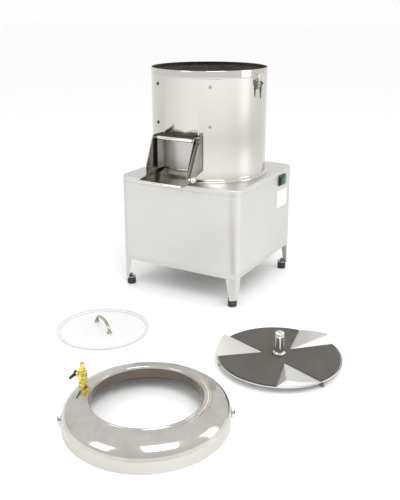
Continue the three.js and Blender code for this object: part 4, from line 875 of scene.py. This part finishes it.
hook = rounded([(222.8, 13.5), (234.6, 13.5), (234.6, 21.5), (232.6, 21.5), (232.6, 15.5), (222.8, 15.5)],
               [0, 3.2, 0.9, 0.9, 1.4, 0], closed=True)
for name, turn in (("right", 0), ("left", 180)):
    back = slab(rectangle((-8, 8), (6, 30), 2.5), 222.6, 224.6, 0.5, "x")
    heads = [moved(turned(rivet, 20, closed=False), (224.5, y, 25.6), tilt=UP_TO_X) for y in (-4.4, 4.4)]
    parts = [moved(part, turn=turn) for part in (back, slab(hook, -6, 6, 0.5, "y"), *heads)]
    piece(f"catch_{name}", parts, fitting_steel, f"ring_catch_{name}", RING, "spray_ring")

thread = [(0, 52)] + [(8 - 0.7 * (i % 2), 52 + 1.1 * i) for i in range(32)] + [(0, 87)]
nut = [(0, 58), (13.2, 58), (14, 59), (14, 75), (13, 76.3), (10.6, 77.2), (0, 77.2)]
body = rounded([(0, 86.3), (11.6, 86.3), (13, 88), (13, 95), (12.2, 96), (12.2, 100.6), (13, 101.6),
                (13, 108.6), (11.4, 110.3), (0, 110.3)], [0, 0.8, 1, 0.4, 0.4, 0.4, 0.4, 1, 0.8, 0], 3)
top_nut = [(0, 110.3), (9.8, 110.3), (10.5, 111), (10.5, 116.4), (9.6, 117.3), (0, 117.3)]
barbs = [(6.5, 117.3), (6.5, 120.2), (5.4, 120.9), (6.5, 124.6), (5.4, 125.3), (6.5, 129), (5.4, 129.7),
         (5.6, 133.6), (5.2, 134.3), (4.2, 134.3), (4, 133.8), (4, 114.4), (0, 114.4)]
boss = rounded([(0, 0), (8, 0), (8, 17.5), (6.8, 19), (0, 19)], [0, 0.3, 0.8, 0.8, 0], 3)
STEM = 98.3  # height of the valve lever's axis
stem = [(0, 0), (4, 0), (4, 26.2), (3.2, 27), (0, 27)]
fitting = [turned(thread, 32, closed=False), turned(nut, 6, closed=False), turned(body, 40, closed=False),
           turned(top_nut, 6, closed=False), turned(barbs, 32, closed=False)]
fitting = [moved(part, (190, 0, 0)) for part in fitting]
fitting += [moved(turned(p, 32, closed=False), (190, 0, STEM), tilt=UP_TO_X) for p in (boss, stem)]
piece("valve_body", fitting, brass, "water_valve", VALVE, "spray_ring", bevel=0.2, sharp=30)
tip = rounded([(8, -4.5), (30, -3.9), (30, 3.9), (8, 4.5)], [0, 3.6, 3.6, 0], 6)
lever = np.concatenate([arc(9, 30, 330, 28), tip]) + (0, STEM)
grip = slab(rounded([(13, -2.2), (27, -1.8), (27, 1.8), (13, 2.2)], 1.6, closed=True) + (0, STEM), 214.2,
            215.6, 0.4, "x")
bore = moved(turned([(0, -12), (4.3, -12), (4.3, 12), (0, 12)], 32, closed=False), (212, 0, STEM),
             tilt=UP_TO_X)
piece("valve_grip", [slab(lever, 210, 215, 1.2, "x", 5)], knob_plastic, "valve_lever", VALVE, "valve_key",
      holes=[bore])
piece("valve_grip_rib", [grip], knob_plastic, at=VALVE, body="valve_key")

# ---------------------------------------------------------------- abrasive disc

WAVE_TOP = 26.0


def wave_height(x, y):
    """Height of the pressed waves over the plate. Each rises from its point at (50, 0), by two
    planes that meet on a ridge towards 13 degrees right of its middle: the softened lesser of the
    planes, and never below zero. The three stand a third of a turn apart."""
    def spot(radius, angle, z):
        a = math.radians(angle)
        return np.array([radius * math.cos(a), radius * math.sin(a), z])

    point, peak = spot(50, 0, 0), spot(211.7, -13, WAVE_TOP)
    height = np.zeros_like(x)
    for turn in np.radians((0, 120, 240)):
        u = x * math.cos(turn) + y * math.sin(turn)
        v = y * math.cos(turn) - x * math.sin(turn)
        planes = []
        for corner in (spot(211.7, -21.5, 0), spot(211.7, 21.5, 0)):
            n = np.cross(peak - point, corner - point)
            planes.append(-(n[0] * (u - point[0]) + n[1] * v) / n[2])
        a, b = planes
        soft = 0.5 * (a + b - np.sqrt((a - b) ** 2 + 1.2))
        height = np.maximum(height, np.where(u > 49, soft, 0))
    return np.maximum(height - 0.12, 0)


def disc_plate():
    """The plate with its waves: rings of points from the bore, under the plate, up its edge and over
    its top, whose height is the plate's top plus the waves'. A wave's outer wall stands 0.5 inside
    the plate's edge, over a slit of 1.1."""
    rows = [(8, 25), (8, 22), (60, 22), (191.2, 22), (191.7, 22.5), (191.7, 24.6), (191.4, 25), (189.2, 25)]
    a = np.radians(np.arange(0, 360, 0.6))
    c, s = np.cos(a), np.sin(a)
    rim_height = wave_height(191.2 * c, 191.2 * s)
    grid = [np.stack([r * c, r * s, z + 0 * c], -1) for r, z in rows]
    for r, share in ((189.2, None), (191.0, None), (191.2, 0.3), (191.2, 0.8)):
        step = np.minimum(rim_height, 1.1)
        z = 25 + (step if share is None else np.maximum(step, rim_height * share))
        grid.append(np.stack([r * c, r * s, z], -1))
    for r in np.r_[191.2, 190.9, np.linspace(189.5, 49, 88), 40, 28, 16, 8.01]:
        grid.append(np.stack([r * c, r * s, 25 + wave_height(r * c, r * s) * (0.995 if r > 191 else 1)],
                             -1))
    return skin(np.stack(grid), around=True)


piece("wave_plate", [disc_plate()], disc_steel, "disc_plate", DISC, "disc", sharp=28)


def grit_sector(turn):
    """The abrasive between two waves: at radius r it runs from f to 120 - f degrees, where f is
    where the circle meets the line y = 0.534 (x - 48) beside the wave."""
    r = np.r_[np.linspace(186.7, 49, 100), 48, np.linspace(45, 15, 12)]
    slope = 0.5343
    inside = np.clip(48 * slope / (np.maximum(r, 48) * math.hypot(1, slope)), -1, 1)
    f = np.where(r > 48, np.arccos(inside) - math.atan2(1, slope), 0)
    t = np.linspace(0, 1, 90)[None]
    a = f[:, None] * (1 - t) + (math.radians(120) - f[:, None]) * t + math.radians(turn)
    z = 27.25 + 0.18 * ripple(a.shape, 5 + turn)
    z[:, [0, -1]] = 27.2
    z[[0, -1]] = 27.2
    return skin(np.stack([r[:, None] * np.cos(a), r[:, None] * np.sin(a), z], -1))


piece("grit_pad", [grit_sector(turn) for turn in (0, 120, 240)], grit_plain, "disc_abrasive", DISC, "disc",
      wall=1.9, sharp=60)

column = rounded([(0, 27.6), (14, 27.6), (14, 89.6), (12.4, 90.6), (12.4, 92.8), (14, 93.6), (14, 95),
                  (0, 95)], [0, 0.3, 0.6, 0.5, 0.5, 0.3, 0.3, 0], 3)
cap = [(0, 94.4), (14, 94.4), (14, 98.8), (12.3, 101.8), (8, 103.5), (0, 103.6)]
hex_nut = [(0, 27.6), (20.2, 27.6), (21, 28.2), (21, 34.6), (19.4, 35.6), (15, 35.9), (0, 35.9)]
shank = [(0, 23), (7.7, 23), (7.7, 28), (0, 28)]
parts = [turned(column, 56, closed=False), turned(cap, 10, closed=False), turned(hex_nut, 6, closed=False),
         turned(shank, 32, closed=False)]
piece("lift_post", parts, chrome_wire, "lifting_post", DISC, "disc", bevel=0.3, sharp=24)

hub_boss = turned(rounded([(0, 4), (24, 4), (24, 21.7), (0, 21.7)], [0, 2, 1, 0], 5), 64, closed=False)
socket = slab([(8.3, -8.3), (8.3, 8.3), (-8.3, 8.3), (-8.3, -8.3)], -1, 17.7, 0.01)
piece("drive_hub", [hub_boss], casting, "disc_hub", DISC, "disc", holes=[socket], bevel=0.5)
arm = rounded([(16, 12.7), (166, 12.7), (173, 0), (188.7, 0), (188.7, 21.7), (16, 21.7)],
              [2, 10, 2, 2, 2, 2], closed=True)
arms = [moved(slab(arm, -2.5, 2.5, 0.8, "y"), turn=turn) for turn in (25, 145, 265)]
piece("sweeper_arms", arms, fitting_steel, at=DISC, body="disc")

# ---------------------------------------------------------------- lid

plate = rounded([(0, 0), (146, 0), (146, 4), (154.4, 4), (155, 4.6), (155, 8.2), (154.2, 9), (0, 9)],
                [0, 0.7, 0.6, 0.4, 0.4, 0.5, 0.5, 0], 3)
piece("clear_lid", [turned(plate, 160, closed=False)], acrylic, "lid_disc", LID, "lid")
t = np.linspace(0, 1, 48)[:, None]
bow = (1 - t) ** 3 * (-52, 0, 13) + 3 * t * (1 - t) ** 2 * (-48, 0, 51.6) + 3 * t**2 * (1 - t) * (48, 0,
        51.6) + t**3 * (52, 0, 13)
bow_grip = skin(bar(bow, 4.9, (0, 1, 0), 28), around=True)
base = rounded([(0, 9.3), (9, 9.3), (9, 11.4), (6.4, 13.4), (6, 16.4), (5, 17.3), (0, 17.3)],
               [0, 0.5, 0.8, 1.2, 1, 0.4, 0], 4)
feet = [moved(turned(base, 40, closed=False), (x, 0, 0)) for x in (-52, 52)]
piece("bow_handle", [bow_grip, *feet], bow_metal, "lid_handle", LID, "lid")

# ---------------------------------------------------------------- drive

shaft = rounded([(0, 190), (12.5, 190), (12.5, 478), (9, 480), (0, 480)], [0, 1, 0.8, 1, 0], 3)
head = slab(rectangle((-8, 8), (-8, 8), 1.2), 478, 500, 1.2)
piece("drive_shaft", [turned(shaft, 48, closed=False), head], turned_steel, "main_shaft",
      body="disc_drive")
lip = rounded([(12.8, 443), (23.7, 443), (23.7, 455), (15.8, 459), (12.8, 459)], [0.4, 0.6, 1, 1.4, 0.5],
              4, closed=True)
piece("rotary_seal", [turned(lip, 64)], seal_rubber, "shaft_seal")
cast = rounded([(26.3, 297.7), (42, 297.7), (42, 427.7), (70, 427.7), (70, 437.7), (26.3, 437.7)],
               [0.5, 2, 10, 2.5, 1, 0.5], 6, closed=True)
housing_ribs = [moved(slab(rounded([(40, 360), (66, 427.5), (66, 428.5), (40, 428.5)], 1, closed=True), -3,
                           3, 0.8, "y"), turn=turn) for turn in (45, 135, 225, 315)]
bolt_head = turned([(0, 0), (6, 0), (6, 4), (5.2, 4.6), (0, 4.6)], 6, closed=False)
caps = [moved(bolt_head, (58 * math.cos(a), 58 * math.sin(a), 422.9))
        for a in np.radians((0, 90, 180, 270))]
piece("bearing_casting", [turned(cast, 72), *housing_ribs], casting, "bearing_housing")
piece("bearing_bolts", caps, fitting_steel)
for name, low in (("upper", 413), ("lower", 303)):
    race = rounded([(12.8, low), (17, low), (17.4, low + 1), (21.6, low + 1), (22, low), (26, low),
                    (26, low + 15), (22, low + 15), (21.6, low + 14), (17.4, low + 14), (17, low + 15),
                    (12.8, low + 15)], 0.3, 2, closed=True)
    piece(f"ball_race_{name}", [turned(race, 64)], turned_steel, f"bearing_{name}")

MOTOR_X = MOTOR_Y = -165 * math.sqrt(0.5)


def grooved(radius, bore):
    """A pulley's profile: a rim with one groove, a web thinner than the rim, and a hub."""
    if radius < 60:
        line = [(bore, 202), (radius, 202), (radius, 207), (radius - 9.6, 207.4), (radius - 9.6, 218.6),
                (radius, 219), (radius, 224), (bore, 224)]
    else:
        line = [(bore, 202), (26, 202), (26, 208), (radius - 19, 208), (radius - 16, 202), (radius, 202),
                (radius, 207), (radius - 9.6, 207.4),
                (radius - 9.6, 218.6), (radius, 219), (radius, 224), (radius - 16, 224),
                (radius - 19, 218), (26, 218), (26, 224), (bore, 224)]
    return rounded(line, 0.8, 3, closed=True)


piece("driven_pulley", [turned(grooved(120, 12.8), 128)], casting, "main_pulley", body="disc_drive")
piece("drive_pulley", [moved(turned(grooved(28, 9.8), 64), (MOTOR_X, MOTOR_Y, 0))], casting,
      "motor_pulley", body="motor_rotor")


def belt():
    """A belt round two circles, 119.2 and 27.2 in radius and 165 apart: it leaves both at the angle
    whose cosine is their difference over the distance. Its section is a trapezium with ribs inside."""
    lean = math.degrees(math.acos((119.2 - 27.2) / 165))
    big, little = arc(1, lean, 360 - lean, 64), arc(1, -lean, lean, 24)
    rows = []
    for depth, z in ((0, 208.2), (0.3, 208), (8, 209.4), (8, 216.6), (0.3, 218), (0, 217.8)):
        line = np.concatenate([big * (119.2 - depth), little * (27.2 - depth) + (165, 0)])
        rows.append(np.c_[line, np.full(len(line), z)])
    return moved(skin(np.stack(rows), around=True, over=True), turn=225)


piece("v_belt", [belt()], belt_rubber, "drive_belt")

for node, finish in {
    "base_frame": cabinet_steel, "rear_panel": cabinet_steel, "motor_body": motor_paint,
    "motor_fan_cover": knob_plastic,
    "motor_plate": casting, "motor_shaft": turned_steel,
}.items():
    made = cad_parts[node]
    made.data.materials.clear()
    made.data.materials.append(finish)

# ---------------------------------------------------------------- floor, light and camera

scene = bpy.context.scene
centre = np.array([MACHINE[0], MACHINE[1] - 0.3, 0])
f = Finish("pale_floor")
mottle = f.noise(f.spread(3, 3, 3), 1.0, 3.0)
tone = f.mix(mottle, (0.95, 0.95, 0.95), (0.92, 0.92, 0.92))
x, y = np.meshgrid(np.linspace(-30, 30, 12), np.linspace(-30, 30, 12))
floor = mesh_object("floor", *skin(np.stack([x + centre[0], y + centre[1], 0 * x], -1)), False)
floor.data.materials.append(f.done(Base_Color=tone, Roughness=mottle * 0.1 + 0.5))


def area_light(name, at, aim, size, power, tint=(1, 1, 1)):
    """A soft rectangular lamp at a place, turned towards another."""
    lamp = bpy.data.lights.new(name, "AREA")
    lamp.shape, lamp.size, lamp.size_y = "RECTANGLE", size[0], size[1]
    lamp.energy, lamp.color = power, tint
    made = bpy.data.objects.new(name, lamp)
    made.location = np.asarray(at) + centre
    toward = np.asarray(aim, float) - np.asarray(at, float)
    yaw, pitch = math.atan2(toward[1], toward[0]), math.atan2(toward[2], math.hypot(toward[0], toward[1]))
    made.rotation_euler = (pitch + math.pi / 2, 0, yaw - math.pi / 2)
    scene.collection.objects.link(made)
    return made


area_light("key", (1.6, -1.4, 2.6), (0, 0.3, 0.4), (1.6, 1.6), 42)
area_light("side", (2.6, 0.9, 1.2), (0, 0.3, 0.5), (1.0, 2.0), 14)
area_light("front", (-0.9, -2.8, 1.8), (0, 0.3, 0.5), (1.2, 1.6), 16)

# the room: one even pale tone, a little brighter overhead
w = Finish("soft_room", world=True)
room = w.mix(w.along(2).band(0.0, 1.0), (0.93, 0.93, 0.93), (1.0, 1.0, 1.0))
scene.world = w.done(Color=room, Strength=1.06)

eye = bpy.data.cameras.new("eye")
camera = bpy.data.objects.new("eye", eye)
scene.collection.objects.link(camera)
camera.location = (MACHINE[0] + 1.30433, MACHINE[1] - 2.34377, 1.06629)
camera.rotation_euler = (math.radians(74.37), 0, math.radians(29.85))
eye.sensor_fit, eye.sensor_width, eye.lens, eye.shift_y = "AUTO", 36, 50.64, -0.10
scene.camera = camera
scene.view_settings.view_transform = "Standard"
